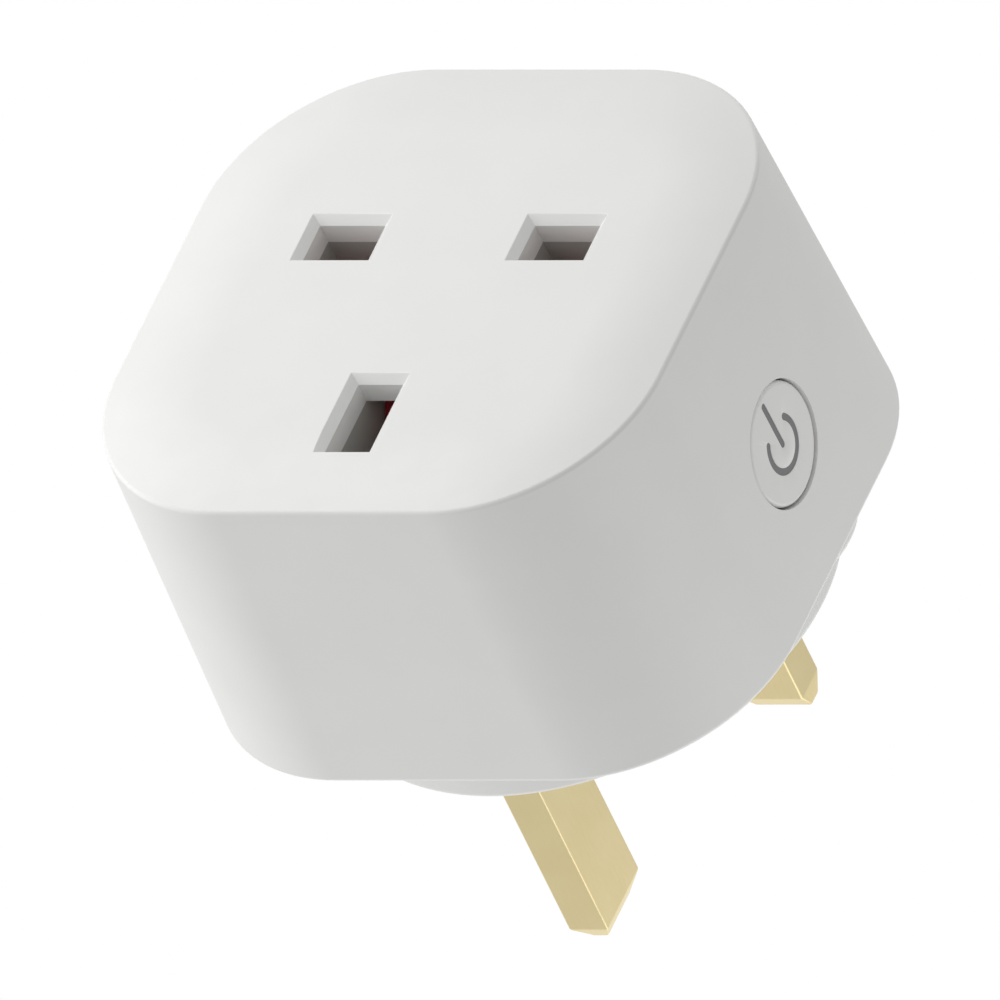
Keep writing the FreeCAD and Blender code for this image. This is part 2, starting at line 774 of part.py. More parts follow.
def pin_retainer():
    """Plate that traps the pin collars against the floor of the rear cover."""
    back = retainer_front + retainer_thickness
    plate = rod(0.0, 0.0, retainer_radius, retainer_front, back)
    pads = []
    for x in (-line_x, line_x):
        for side in (-1, 1):
            pads.append(block_at(x + side * (line_pin_width / 2 + retainer_pad_width), row_z,
                                 retainer_pad_width, retainer_pad_height, back, collar_front))
    for side in (-1, 1):
        pad_x = side * ((strap_width + retainer_earth_pad_width) / 2 + slide_gap)
        pads.append(block_at(pad_x, earth_z - retainer_earth_pad_drop, retainer_earth_pad_width,
                             retainer_pad_height, back, collar_front))
    cuts = [strap_slots(retainer_front, back)]
    for x, z in retainer_post_places:
        cuts.append(rod(x, z, small_screw_radius + slide_gap, retainer_front, back))
    for x, z in ((-line_x, row_z), (line_x, row_z), (0.0, earth_z)):
        cuts.append(rod(x, z, rivet_head_radius + clear_gap, retainer_front, back))
    return joined([plate] + pads).cut(joined(cuts))


def retainer_screws():
    return group([screw(x, z, small_screw_radius, small_screw_head_radius, small_screw_head_height,
                        retainer_thickness + retainer_screw_grip, retainer_front,
                        towards_front=False)
                  for x, z in retainer_post_places])


# ---- Power button and its switch ----

def outside_wall(sink):
    """All that is outside a plane sunk below the drafted left wall."""
    reach = 2 * button_radius
    points = []
    for depth in (button_depth - reach, button_depth + reach):
        points.append((depth, -(front_half + draft * depth) + sink))
    for depth in (button_depth + reach, button_depth - reach):
        points.append((depth, button_wall_x - reach))
    return profile_along_z(points, -reach, reach)


def button_shape():
    flange_x = button_wall_x + side_wall + button_flange_gap
    stem_x = switch_tip_x() - 0.05
    cap = side_rod(button_depth, 0.0, button_radius, button_wall_x - 1.0,
                   flange_x + button_flange_thickness)
    cap = cap.cut(outside_wall(button_recess))
    rim = [edge for edge in cap.Edges if edge.BoundBox.XMax < button_wall_x + 1.0]
    cap = cap.makeFillet(button_edge_radius, rim)
    flange = side_rod(button_depth, 0.0, button_radius + button_flange, flange_x,
                      flange_x + button_flange_thickness)
    stem = side_rod(button_depth, 0.0, button_stem_radius,
                    flange_x + button_flange_thickness, stem_x)
    return joined([cap, flange, stem])


def icon_shape(x0, x1):
    """Open ring and a line, the usual sign for power, as a thin slab along X."""
    half = icon_stroke / 2
    ring = side_rod(button_depth, 0.0, icon_radius + half, x0, x1)
    ring = ring.cut(side_rod(button_depth, 0.0, icon_radius - half, x0, x1))
    reach = 2 * icon_radius
    spread = reach * math.tan(math.radians(icon_half_gap_degrees))
    wedge = [(button_depth, 0.0), (button_depth - reach, -spread), (button_depth - reach, spread)]
    ring = ring.cut(profile_along_x(wedge, x0, x1))
    ends = []
    for side in (-1, 1):
        angle = math.radians(icon_half_gap_degrees)
        ends.append(side_rod(button_depth - icon_radius * math.cos(angle),
                             side * icon_radius * math.sin(angle), half, x0, x1))
    line = block(x0, x1, button_depth - icon_line_length, button_depth, -half, half)
    line_ends = [side_rod(button_depth, 0.0, half, x0, x1),
                 side_rod(button_depth - icon_line_length, 0.0, half, x0, x1)]
    return [joined([ring] + ends), joined([line] + line_ends)]


def icon_floor_x():
    return button_wall_x + button_recess + icon_groove


def power_button():
    groove = icon_shape(button_wall_x - 1.0, icon_floor_x())
    return button_shape().cut(groove[0]).cut(groove[1])


def button_icon():
    face = outside_wall(button_recess + icon_sink)
    return group([sign.cut(face) for sign in icon_shape(button_wall_x - 1.0, icon_floor_x())])


def switch_tip_x():
    return radio_board_outer_x - switch_height - switch_plunger_height


def push_switch_body():
    half = switch_size / 2
    case = block(radio_board_outer_x - switch_height, radio_board_outer_x,
                 button_depth - half, button_depth + half, -half, half)
    well = side_rod(button_depth, 0.0, switch_plunger_radius + slide_gap,
                    radio_board_outer_x - switch_height, radio_board_outer_x - switch_floor)
    return case.cut(well)


def push_switch_plunger():
    back = radio_board_outer_x - switch_floor - button_travel - clear_gap
    return side_rod(button_depth, 0.0, switch_plunger_radius, switch_tip_x(), back)


def status_led():
    return block(radio_board_outer_x - led_height, radio_board_outer_x,
                 button_depth - led_width / 2, button_depth + led_width / 2,
                 led_bottom_z, led_top_z)


# ---- Circuit boards ----

def control_board():
    half = front_half + draft * board_front - side_wall - board_gap
    radius = corner_radius - side_wall - board_gap
    board = rounded_block(half, half, radius, board_front, board_back)
    cuts = [strap_slots(board_front, board_back)]
    for x, z in post_places:
        cuts.append(rod(x, z, post_tip_radius + clear_gap, board_front, board_back))
        outward = [math.copysign(half, x), math.copysign(half, z)]
        cuts.append(block(*sorted((x, outward[0])), board_front, board_back,
                          *sorted((z, outward[1]))))
    return board.cut(joined(cuts))


def radio_board():
    half = radio_board_half_height
    return block(radio_board_outer_x, radio_board_x, radio_board_front, board_front, -half, half)


def radio_shield():
    top_x = radio_board_x + shield_height
    can = block(radio_board_x, top_x, radio_board_front + shield_margin, shield_back,
                -shield_half_length, shield_half_length)
    return can.makeFillet(shield_edge_radius, edges_at_x(can, top_x))


def board_header():
    """Right-angle pin strip between the two boards."""
    front = board_front - header_size
    body = block(radio_board_x, radio_board_x + header_size, front, board_front,
                 -header_half_length, header_half_length)
    pins = []
    for index in range(header_pins):
        z = (index - (header_pins - 1) / 2) * header_pitch
        pins.append(block_at(radio_board_x + header_size / 2, z, header_pin_size,
                             header_pin_size, front - header_pin_end, front))
    return joined([body] + pins)


# ---- Parts on the control board ----

def relay_base():
    return block_at(0.0, relay_z, relay_length, relay_width,
                    board_front - relay_base_height, board_front)


def relay_cover():
    back = board_front - relay_base_height
    cover = block_at(0.0, relay_z, relay_length, relay_width, board_front - relay_height, back)
    front_edges = edges_at_depth(cover, board_front - relay_height)
    return cover.makeFillet(relay_edge_radius, front_edges)


def bulk_capacitors():
    cans = []
    top = board_front - capacitor_length
    crimp = (board_front - capacitor_crimp_front, board_front - capacitor_crimp_back)
    for z in capacitor_rows:
        can = rod(capacitor_x, z, capacitor_radius, top, board_front)
        can = can.makeFillet(capacitor_edge_radius, edges_at_depth(can, top))
        groove = rod(capacitor_x, z, 2 * capacitor_radius, *crimp)
        core = rod(capacitor_x, z, capacitor_radius - capacitor_crimp_depth, *crimp)
        cans.append(can.cut(groove.cut(core)))
    return group(cans)


def inductor_core():
    front = board_front - inductor_length
    middle = rod(inductor_x, inductor_z, inductor_core_radius, front, board_front)
    ends = [rod(inductor_x, inductor_z, inductor_radius, front, front + inductor_flange),
            rod(inductor_x, inductor_z, inductor_radius, board_front - inductor_flange, board_front)]
    return joined([middle] + ends)


def inductor_winding():
    d0 = board_front - inductor_length + inductor_flange
    d1 = board_front - inductor_flange
    outer = rod(inductor_x, inductor_z, inductor_winding_radius, d0, d1)
    return outer.cut(rod(inductor_x, inductor_z, inductor_core_radius, d0, d1))


def surge_varistor():
    start = Vector(varistor_x, y_at(board_front - varistor_standoff), varistor_z)
    disc = Part.makeCylinder(varistor_radius, varistor_thickness, start, Vector(0, 0, 1))
    rims = [edge for edge in disc.Edges if edge.Curve.TypeId == "Part::GeomCircle"]
    disc = disc.makeFillet(varistor_edge_radius, rims)
    lead_z = varistor_z + varistor_thickness / 2
    leads = [rod(varistor_x + side * varistor_half_pitch, lead_z, varistor_lead_radius,
                 board_front - varistor_lead_length, board_front) for side in (-1, 1)]
    return joined([disc] + leads)


def fusible_resistor():
    depth = board_front - resistor_height
    half = resistor_half_length
    thin = resistor_lead_radius
    body = side_rod(depth, resistor_z, resistor_radius, -half, half)
    body = body.makeFillet(resistor_edge_radius, edges_at_x(body, -half) + edges_at_x(body, half))
    solids = [body]
    for side in (-1, 1):
        reach = sorted((side * (half - thin), side * resistor_half_pitch))
        solids.append(side_rod(depth, resistor_z, thin, *reach))
        solids.append(block_at(side * resistor_half_pitch, resistor_z, 2 * thin, 2 * thin,
                               depth - thin, board_front))
    return joined(solids)


def chip(x, z, length, width, height, legs, pitch):
    """Surface-mounted package with gull-wing legs along its two long sides."""
    top = board_front - height
    package = block_at(x, z, length, width, top, board_front - chip_standoff)
    package = package.makeChamfer(chip_edge, edges_at_depth(package, top))
    feet = []
    for index in range(legs):
        leg_x = x + (index - (legs - 1) / 2) * pitch
        feet.append(block_at(leg_x, z, chip_leg_width, width + 2 * chip_leg_reach,
                             board_front - chip_leg_height, board_front))
    return joined([package] + feet)


def bridge_rectifier():
    return chip(-3.4, -1.6, 4.7, chip_width, 2.5, legs=2, pitch=2.54)


def converter_chip():
    return chip(3.6, -1.6, 4.9, chip_width, 1.6, legs=4, pitch=1.27)


def metering_chip():
    return chip(0.0, -8.4, 9.9, chip_width, 1.6, legs=8, pitch=1.27)


def current_shunt():
    """Flat resistance strip that stands on two legs."""
    half = shunt_half_length
    outer = block(-half, half, board_front - shunt_height, board_front,
                  shunt_front_z, shunt_back_z)
    half = half - shunt_strip
    return outer.cut(block(-half, half, board_front - shunt_height + shunt_strip, board_front,
                           shunt_front_z, shunt_back_z))


parts = {
    "front_housing": front_housing,
    "shutter_guide": shutter_guide,
    "rear_cover": rear_cover,
    "cover_screws": cover_screws,
    "earth_pin": earth_pin,
    "live_pin": lambda: line_pin(line_x),
    "neutral_pin": lambda: line_pin(-line_x),
    "live_pin_sleeve": lambda: pin_sleeve(line_x),
    "neutral_pin_sleeve": lambda: pin_sleeve(-line_x),
    "pin_retainer": pin_retainer,
    "retainer_screws": retainer_screws,
    "shutter": shutter,
    "shutter_spring": shutter_spring,
    "contact_carrier": contact_carrier,
    "carrier_screws": carrier_screws,
    "live_socket_contact": lambda: line_contact(line_x),
    "neutral_socket_contact": lambda: line_contact(-line_x),
    "earth_socket_contact": earth_contact,
    "neutral_strap": neutral_strap,
    "earth_strap": earth_strap,
    "live_input_strap": live_input_strap,
    "live_output_strap": live_output_strap,
    "power_button": power_button,
    "button_icon": button_icon,
    "push_switch_body": push_switch_body,
    "push_switch_plunger": push_switch_plunger,
    "status_led": status_led,
    "control_board": control_board,
    "radio_board": radio_board,
    "radio_shield": radio_shield,
    "board_header": board_header,
    "relay_base": relay_base,
    "relay_cover": relay_cover,
    "bulk_capacitors": bulk_capacitors,
    "inductor_core": inductor_core,
    "inductor_winding": inductor_winding,
    "surge_varistor": surge_varistor,
    "fusible_resistor": fusible_resistor,
    "bridge_rectifier": bridge_rectifier,
    "converter_chip": converter_chip,
    "metering_chip": metering_chip,
    "current_shunt": current_shunt,
}

os.makedirs("parts", exist_ok=True)
for name, make in parts.items():
    shape = make()
    shape.exportStep(f"parts/{name}.step")
    print(name, len(shape.Solids), round(shape.Volume, 2), shape.isValid())
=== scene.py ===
"""Looks of a smart plug for British 13 A sockets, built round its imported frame."""
import json
import math

import bmesh
import bpy
from bpy.props import FloatProperty, FloatVectorProperty, PointerProperty
from mathutils import Matrix, Vector


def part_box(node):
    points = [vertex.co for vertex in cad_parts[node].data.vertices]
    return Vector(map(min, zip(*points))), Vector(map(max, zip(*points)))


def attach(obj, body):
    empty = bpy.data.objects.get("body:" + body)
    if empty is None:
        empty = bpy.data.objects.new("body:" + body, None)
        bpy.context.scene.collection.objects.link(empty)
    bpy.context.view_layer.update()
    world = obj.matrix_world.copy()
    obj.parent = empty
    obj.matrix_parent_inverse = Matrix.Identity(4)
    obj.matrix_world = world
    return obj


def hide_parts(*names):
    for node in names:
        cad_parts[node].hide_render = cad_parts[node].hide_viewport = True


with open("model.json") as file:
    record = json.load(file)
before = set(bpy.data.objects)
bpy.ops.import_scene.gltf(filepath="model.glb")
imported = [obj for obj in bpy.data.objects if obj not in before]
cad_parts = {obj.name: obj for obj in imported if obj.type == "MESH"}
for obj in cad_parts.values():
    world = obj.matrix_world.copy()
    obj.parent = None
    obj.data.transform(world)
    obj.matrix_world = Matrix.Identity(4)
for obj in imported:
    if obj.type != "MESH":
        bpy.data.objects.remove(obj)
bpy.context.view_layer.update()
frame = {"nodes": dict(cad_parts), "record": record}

bl_info = {
    "name": "Smart Plug",
    "version": (1, 0, 0),
    "blender": (4, 5, 0),
    "location": "3D View > Sidebar > Smart Plug",
    "description": "Builds the visible pieces, finishes and studio of a smart plug",
    "category": "Object",
}

MM = 0.001
MOUNTS = {mount["name"]: Vector(mount["pos_m"]) for mount in frame["record"]["mounts"]}
HOUSING_LOW, HOUSING_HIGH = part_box("front_housing")
FACE_Y = HOUSING_LOW.y
SHELL_DEPTH = HOUSING_HIGH.y - HOUSING_LOW.y

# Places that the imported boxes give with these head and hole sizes, in metres.
HEAD_RADIUS = {"cover_screws": 2.5 * MM, "carrier_screws": 2.1 * MM, "retainer_screws": 2.1 * MM}
PILOT = {"cover_screws": 1.3 * MM, "carrier_screws": 1.05 * MM, "retainer_screws": 1.05 * MM}
UPPER_SCREWS_INWARD = 0.5 * MM
RETAINER_HEAD = 2.6 * MM
RETAINER_POST = 2.6 * MM
COVER_FLOOR = 2.0 * MM
HOLE_REACH = 8.0 * MM

# Studio distances from the middle of the picture, and sizes of the lamps, in metres.
CAMERA_AWAY = 0.5
SOFTBOX_AWAY = 0.45
SOFTBOX_SIZE = 0.5
PANEL_AWAY = 0.22
SIDE_AWAY = 0.17
SIDE_SIZE = 0.16
FLOOR_BELOW = 0.95
FLOOR_HALF = 0.45
LAMP_UP = Vector((0.1, 0.2, 1.0))

# Steps round each kind of turned shape, and along each kind of rounding.
ROUND = {"pilot": 24, "post": 32, "corner_post": 40, "rivet": 40, "counterbore": 48, "cap": 96,
         "hollow": 128, "boss": 160}
CORNER_STEPS = 24
PAD_STEPS = 32
PIN_STEPS = 4
EDGE_STEPS = 6
FACE_EDGE_STEPS = 8
MERGE = 1e-7
SHARP_TO_SOFTEN = math.radians(25.0)
SHARP_TO_SHADE = math.radians(32.0)


# ---- Sizes and colours that a user would change ----

def length(name, description, millimetres):
    return FloatProperty(name=name, description=description, default=millimetres * MM, min=0.0,
                         subtype="DISTANCE", unit="LENGTH", precision=5)


def linear(hex_colour):
    """sRGB hex to the linear values that shaders take."""
    channels = [int(hex_colour[start:start + 2], 16) / 255 for start in (0, 2, 4)]
    return tuple(c / 12.92 if c <= 0.04045 else ((c + 0.055) / 1.055) ** 2.4 for c in channels)


def colour(name, description, hex_colour):
    return FloatVectorProperty(name=name, description=description, subtype="COLOR", size=3,
                               min=0.0, max=1.0, default=linear(hex_colour))


class PlugHousingSizes(bpy.types.PropertyGroup):
    draft: FloatProperty(name="Draft", default=0.023,
                         description="Outward lean of the side walls, in metres per metre")
    corner_radius: length("Corner radius", "Radius of the four corners", 17.4)
    face_edge: length("Face edge", "Tight rounding at the edge of the socket face", 0.45)
    face_fall: length("Face fall", "How far the face falls before that edge", 1.0)
    face_fall_width: length("Face fall width", "Width of the band that falls", 9.0)
    rim_edge: length("Rim edge", "Rounding of the rear rim", 0.6)
    face_wall: length("Face wall", "Thickness of the socket face", 2.8)
    side_wall: length("Side wall", "Thickness of the side walls", 2.4)
    rim_wall: length("Rim wall", "Thinner wall round the rear cover", 1.8)
    rim_depth: length("Rim depth", "How far in the thinner wall goes", 2.7)
    corner_post: length("Corner post", "Radius of the posts for the cover screws", 3.9)
    post_tip: length("Post tip", "Radius of the posts past the control board", 2.6)
    carrier_post: length("Carrier post", "Radius of the posts for the carrier screws", 2.6)
    carrier_post_end: length("Carrier post end", "Socket face to the ends of those posts", 7.8)
    crisp_edge: length("Crisp edge", "Rounding of the mouths of the holes", 0.1)


class PlugSocketSizes(bpy.types.PropertyGroup):
    chamfer: length("Chamfer", "Chamfer round each aperture", 0.77)
    line_width: length("Line width", "Width of the live and neutral apertures", 6.76)
    line_height: length("Line height", "Height of the live and neutral apertures", 4.36)
    earth_width: length("Earth width", "Width of the earth aperture", 4.62)
    earth_height: length("Earth height", "Height of the earth aperture", 8.53)


class PlugCoverSizes(bpy.types.PropertyGroup):
    corner_radius: length("Corner radius", "Radius of the plate's corners", 15.45)
    plate: length("Plate", "Thickness of the plate", 2.2)
    boss_radius: length("Boss radius", "Round part that meets the wall outlet", 24.75)
    boss_wall: length("Boss wall", "Thickness of the boss's wall", 2.2)
    boss_floor: length("Boss floor", "Thickness of the boss's floor", 2.0)
    edge: length("Edge", "Rounding of the boss and the pad", 0.7)
    pad_half_length: length("Pad half length", "Half the length of the pad", 26.1)
    pad_end_radius: length("Pad end radius", "Half the height of the pad", 9.7)
    pad_setback: length("Pad setback", "Pad below the contact face", 2.2)
    slot_gap: length("Slot gap", "Space round each pin", 0.05)
    screw_hole: length("Screw hole", "Radius of the holes for the cover screws", 1.55)
    counterbore: length("Counterbore", "Radius of the screw heads' recesses", 2.8)
    screw_head: length("Screw head", "Depth of the screw heads' recesses", 1.4)


class PlugPinSizes(bpy.types.PropertyGroup):
    line_width: length("Line width", "Width of the live and neutral pins", 6.35)
    earth_height: length("Earth height", "Height of the earth pin", 7.925)
    thickness: length("Thickness", "Thickness of every pin", 3.975)
    tip_length: length("Tip length", "Length of the tapered tip", 1.9)
    tip_chamfer: length("Tip chamfer", "How far a tip narrows on its wide sides", 1.1)
    tip_side: length("Tip side", "How far a line pin narrows across its width", 0.2)
    edge: length("Edge", "Rounding of the edges", 0.18)
    sleeve_length: length("Sleeve length", "Insulating sleeves past the wall face", 9.0)
    sleeve_wall: length("Sleeve wall", "Thickness of the sleeves", 0.55)
    collar: length("Collar", "Thickness of the collars that hold the pins", 1.4)
    rivet_radius: length("Rivet radius", "Stub that goes through the strap", 1.5)
    rivet_head: length("Rivet head", "Radius of the rivets' heads", 2.3)
    rivet_height: length("Rivet height", "Height of the rivets' heads", 0.6)


class PlugButtonSizes(bpy.types.PropertyGroup):
    radius: length("Radius", "Radius of the cap", 5.73)
    gap: length("Gap", "Space between the cap and its hole", 0.2)
    recess: length("Recess", "Cap below the side wall", 0.1)
    edge: length("Edge", "Rounding of the cap", 0.45)
    flange: length("Flange", "Thickness of the flange behind the wall", 0.8)
    flange_gap: length("Flange gap", "Space between the wall and the flange", 0.45)
    stem_radius: length("Stem radius", "Stem that meets the switch", 2.0)
    icon_radius: length("Icon radius", "Middle of the icon's ring", 2.5)
    icon_stroke: length("Icon stroke", "Width of the icon's lines", 0.68)
    icon_line: length("Icon line", "Length of the icon's straight line", 4.65)
    icon_sink: length("Icon sink", "Icon below the cap", 0.05)
    icon_groove: length("Icon groove", "Depth of the icon's groove", 0.4)
    icon_gap: FloatProperty(name="Icon gap", description="Half the opening of the icon's ring",
                            subtype="ANGLE", default=math.radians(50.0))


class PlugColours(bpy.types.PropertyGroup):
    housing: colour("Housing", "White polycarbonate of the housing", "E9E9E7")
    button: colour("Button", "White ABS of the button", "EAEAE8")
    icon: colour("Icon", "Grey inlay in the button", "7C7C7C")
    brass: colour("Brass", "Solid brass of the pins", "E6D8AA")
    shutter: colour("Shutter", "Red acetal of the shutter", "A01A24")


class PlugStudioSizes(bpy.types.PropertyGroup):
    turn: FloatProperty(name="Turn", description="Turn of the plug to one side of the camera",
                        subtype="ANGLE", default=math.radians(30.0))
    tilt: FloatProperty(name="Tilt", description="Tilt of the socket face away from the camera",
                        subtype="ANGLE", default=math.radians(45.0))
    across: length("Across", "Picture centre to the right of the face centre", 6.635)
    down: length("Down", "Picture centre below the face centre", 19.508)
    width: length("Width", "Width that the camera sees", 89.62)
    sky: FloatProperty(name="Sky", description="Brightness of the room", default=0.53)
    key_light: FloatProperty(name="Key light", description="Softbox high on the left",
                             default=1.25, subtype="POWER")
    low_light: FloatProperty(name="Low light", description="Softbox low on the left",
                             default=0.85, subtype="POWER")
    rear_light: FloatProperty(name="Rear light", description="Panel behind the pins",
                              default=0.3, subtype="POWER")
    side_light: FloatProperty(name="Side light", description="Softbox by the button, towards the rear",
                              default=0.05, subtype="POWER")


# ---- Mesh helpers ----

def add_ring(bm, half_x, half_z, radius, y, centre=(0.0, 0.0), steps=16):
    """Rectangle with round corners, square to Y. Returns its edges."""
    before = set(bm.edges)
    place = Matrix.Translation((centre[0], y, centre[1])) @ Matrix.Rotation(math.pi / 2, 4, "X")
    place = place @ Matrix.Diagonal((half_x, half_z, 1.0, 1.0))
    grid = bmesh.ops.create_grid(bm, x_segments=1, y_segments=1, size=1.0, matrix=place)
    if radius > 0.0:
        bmesh.ops.bevel(bm, geom=grid["verts"], offset=radius, offset_type="OFFSET",
                        segments=steps, profile=0.5, affect="VERTICES", material=-1)
    ring = [edge for edge in bm.edges if edge not in before]
    faces = list({face for edge in ring for face in edge.link_faces})
    bmesh.ops.delete(bm, geom=faces, context="FACES_ONLY")
    return ring


def skin(bm, rows, centre=(0.0, 0.0), steps=16, closed=True):
    """Bands between rings given as (half x, half z, radius, y), closed at both ends."""
    for first, second in zip(rows, rows[1:]):
        edges = add_ring(bm, *first, centre, steps) + add_ring(bm, *second, centre, steps)
        bmesh.ops.bridge_loops(bm, edges=edges)
    for row in (rows[0], rows[-1]) if closed else ():
        bmesh.ops.contextual_create(bm, geom=add_ring(bm, *row, centre, steps))


def add_prism(bm, half_x, half_z, radius, y_low, y_high, centre=(0.0, 0.0), steps=6):
    """Bar along Y with round or square corners."""
    skin(bm, [(half_x, half_z, radius, y) for y in (y_low, y_high)], centre, steps)


def add_turned(bm, profile, place, steps=64):
    """Spins (radius, height) points round the local Z axis of a placing matrix."""
    before = set(bm.verts)
    verts = [bm.verts.new((radius, 0.0, height)) for radius, height in profile]
    edges = [bm.edges.new(pair) for pair in zip(verts, verts[1:])]
    bmesh.ops.spin(bm, geom=verts + edges, cent=(0, 0, 0), axis=(0, 0, 1), angle=2 * math.pi,
                   steps=steps, use_merge=True)
    made = [vert for vert in bm.verts if vert not in before]
    bmesh.ops.remove_doubles(bm, verts=made, dist=MERGE)
    made = [vert for vert in bm.verts if vert not in before]
    bmesh.ops.transform(bm, matrix=place, verts=made)


def along_y(x, y, z):
    """Places a turned shape with its axis along +Y."""
    return Matrix.Translation((x, y, z)) @ Matrix.Rotation(-math.pi / 2, 4, "X")


def along_x(x, y, z):
    """Places a turned shape with its axis along +X."""
    return Matrix.Translation((x, y, z)) @ Matrix.Rotation(math.pi / 2, 4, "Y")


def rod(radius, height):
    return [(0.0, 0.0), (radius, 0.0), (radius, height), (0.0, height)]


def quarter(radius, steps):
    """Quarter circle as (inset, drop), from the flat end to the side."""
    angles = [step / steps * math.pi / 2 for step in range(steps + 1)]
    return [(radius * (1 - math.sin(angle)), radius * (1 - math.cos(angle))) for angle in angles]


def to_object(bm, name):
    bmesh.ops.remove_doubles(bm, verts=bm.verts[:], dist=MERGE)
    bmesh.ops.recalc_face_normals(bm, faces=bm.faces[:])
    mesh = bpy.data.meshes.new(name)
    bm.to_mesh(mesh)
    bm.free()
    piece = bpy.data.objects.new(name, mesh)
    bpy.context.scene.collection.objects.link(piece)
    return piece


def combine(piece, tool, operation):
    """Adds, cuts or keeps the space of a second object, which is used up."""
    modifier = piece.modifiers.new("Combine", "BOOLEAN")
    modifier.operation = operation
    modifier.solver = "EXACT"
    modifier.object = tool
    graph = bpy.context.evaluated_depsgraph_get()
    mesh = bpy.data.meshes.new_from_object(piece.evaluated_get(graph))
    piece.modifiers.clear()
    piece.data = mesh
    bpy.data.objects.remove(tool)


def soften(piece, width, chosen, segments=2):
    """Rounds the sharp edges that a test picks out."""
    bm = bmesh.new()
    bm.from_mesh(piece.data)
    bmesh.ops.remove_doubles(bm, verts=bm.verts[:], dist=MERGE)
    sharp = [edge for edge in bm.edges if len(edge.link_faces) == 2
             and edge.calc_face_angle() > SHARP_TO_SOFTEN and chosen(edge)]
    bmesh.ops.bevel(bm, geom=sharp, offset=width, offset_type="OFFSET", segments=segments,
                    profile=0.5, affect="EDGES", clamp_overlap=True, material=-1)
    bm.to_mesh(piece.data)
    bm.free()


def hand_over(piece, body, slot, replaced):
    """Shades a piece smooth with flat flats, and gives it to the frame."""
    mesh = piece.data
    mesh.polygons.foreach_set("use_smooth", [True] * len(mesh.polygons))
    mesh.set_sharp_from_angle(angle=SHARP_TO_SHADE)
    modifier = piece.modifiers.new("Weighted normal", "WEIGHTED_NORMAL")
    modifier.keep_sharp = True
    modifier.weight = 100
    mesh.materials.clear()
    mesh.materials.append(bpy.data.materials[FINISHES[slot]])
    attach(piece, body)
    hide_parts(replaced)


# ---- Material helpers ----

def add_node(tree, kind, inputs=None, **settings):
    """Adds a node with its settings. An input is a value, or another node."""
    new = tree.nodes.new(kind)
    for name, value in settings.items():
        setattr(new, name, value)
    for socket, value in (inputs or {}).items():
        if isinstance(value, bpy.types.Node):
            value = next(output for output in value.outputs if output.enabled)
        if isinstance(value, bpy.types.NodeSocket):
            tree.links.new(value, new.inputs[socket])
        else:
            new.inputs[socket].default_value = value
    return new


def new_material(name, base, roughness, metallic=0.0, ior=1.5):
    """Returns the tree and the shader of a new material, with the shader's own sockets set."""
    material = bpy.data.materials.new(name)
    material.use_nodes = True
    tree = material.node_tree
    shader = next(node for node in tree.nodes if node.type == "BSDF_PRINCIPLED")
    shader.inputs["Base Color"].default_value = (*base, 1.0)
    shader.inputs["Roughness"].default_value = roughness
    shader.inputs["Metallic"].default_value = metallic
    if metallic == 0.0:
        shader.inputs["IOR"].default_value = ior
    return tree, shader


def join_up(tree, shader, base, roughness, height, relief):
    """Links a pattern's colour, roughness and height to the shader."""
    normal = add_node(tree, "ShaderNodeBump", {"Height": height, "Distance": relief})
    tree.links.new(next(out for out in base.outputs if out.enabled), shader.inputs["Base Color"])
    tree.links.new(roughness.outputs[0], shader.inputs["Roughness"])
    tree.links.new(normal.outputs[0], shader.inputs["Normal"])


def shade(base, amount):
    """A colour made lighter or darker, as a shader input."""
    return (*(min(1.0, channel * amount) for channel in base), 1.0)


# ---- Finishes ----

def moulded_plastic(name, base, roughness, ior, grain, relief):
    """Injection-moulded plastic: an even satin skin with a fine spark-eroded grain, and clouds
    a few millimetres wide in which its tone and sheen shift slightly."""
    tree, shader = new_material(name, base, roughness, ior=ior)
    place = add_node(tree, "ShaderNodeTexCoord").outputs["Object"]
    cloud = add_node(tree, "ShaderNodeTexNoise", {"Vector": place, "Scale": 1 / (7.0 * MM)})
    tone = add_node(tree, "ShaderNodeMix", {
        0: cloud, 6: shade(base, 0.975), 7: shade(base, 1.015)}, data_type="RGBA")
    flow = add_node(tree, "ShaderNodeTexNoise", {
        "Vector": place, "Scale": 1 / (2.5 * MM), "Detail": 4.0})
    sheen = add_node(tree, "ShaderNodeMapRange", {
        "Value": flow, "From Min": 0.3, "From Max": 0.7, "To Min": 0.9 * roughness,
        "To Max": 1.1 * roughness})
    skin_grain = add_node(tree, "ShaderNodeTexNoise", {
        "Vector": place, "Scale": 1 / (grain * MM), "Detail": 3.0})
    join_up(tree, shader, tone, sheen, skin_grain, relief * MM)


def worked_metal(name, base, roughness, stretch, relief):
    """Drawn, rolled or plated metal: a soft shine with fine lines the way that it was worked,
    and slightly duller, browner patches where it has been handled."""
    tree, shader = new_material(name, base, roughness, metallic=1.0)
    place = add_node(tree, "ShaderNodeTexCoord").outputs["Object"]
    handling = add_node(tree, "ShaderNodeTexNoise", {
        "Vector": place, "Scale": 1 / (5.0 * MM), "Detail": 4.0})
    dull = (0.95 * base[0], 0.92 * base[1], 0.86 * base[2], 1.0)
    tone = add_node(tree, "ShaderNodeMix", {0: handling, 6: dull, 7: shade(base, 1.03)},
                    data_type="RGBA")
    scale = tuple(1 / (0.12 * MM * axis) for axis in stretch)
    drawn = add_node(tree, "ShaderNodeMapping", {"Vector": place, "Scale": scale})
    lines = add_node(tree, "ShaderNodeTexNoise", {"Vector": drawn, "Scale": 1.0, "Detail": 3.0})
    sheen = add_node(tree, "ShaderNodeMapRange", {
        "Value": lines, "From Min": 0.3, "From Max": 0.7, "To Min": 0.85 * roughness,
        "To Max": 1.15 * roughness})
    join_up(tree, shader, tone, sheen, lines, relief * MM)


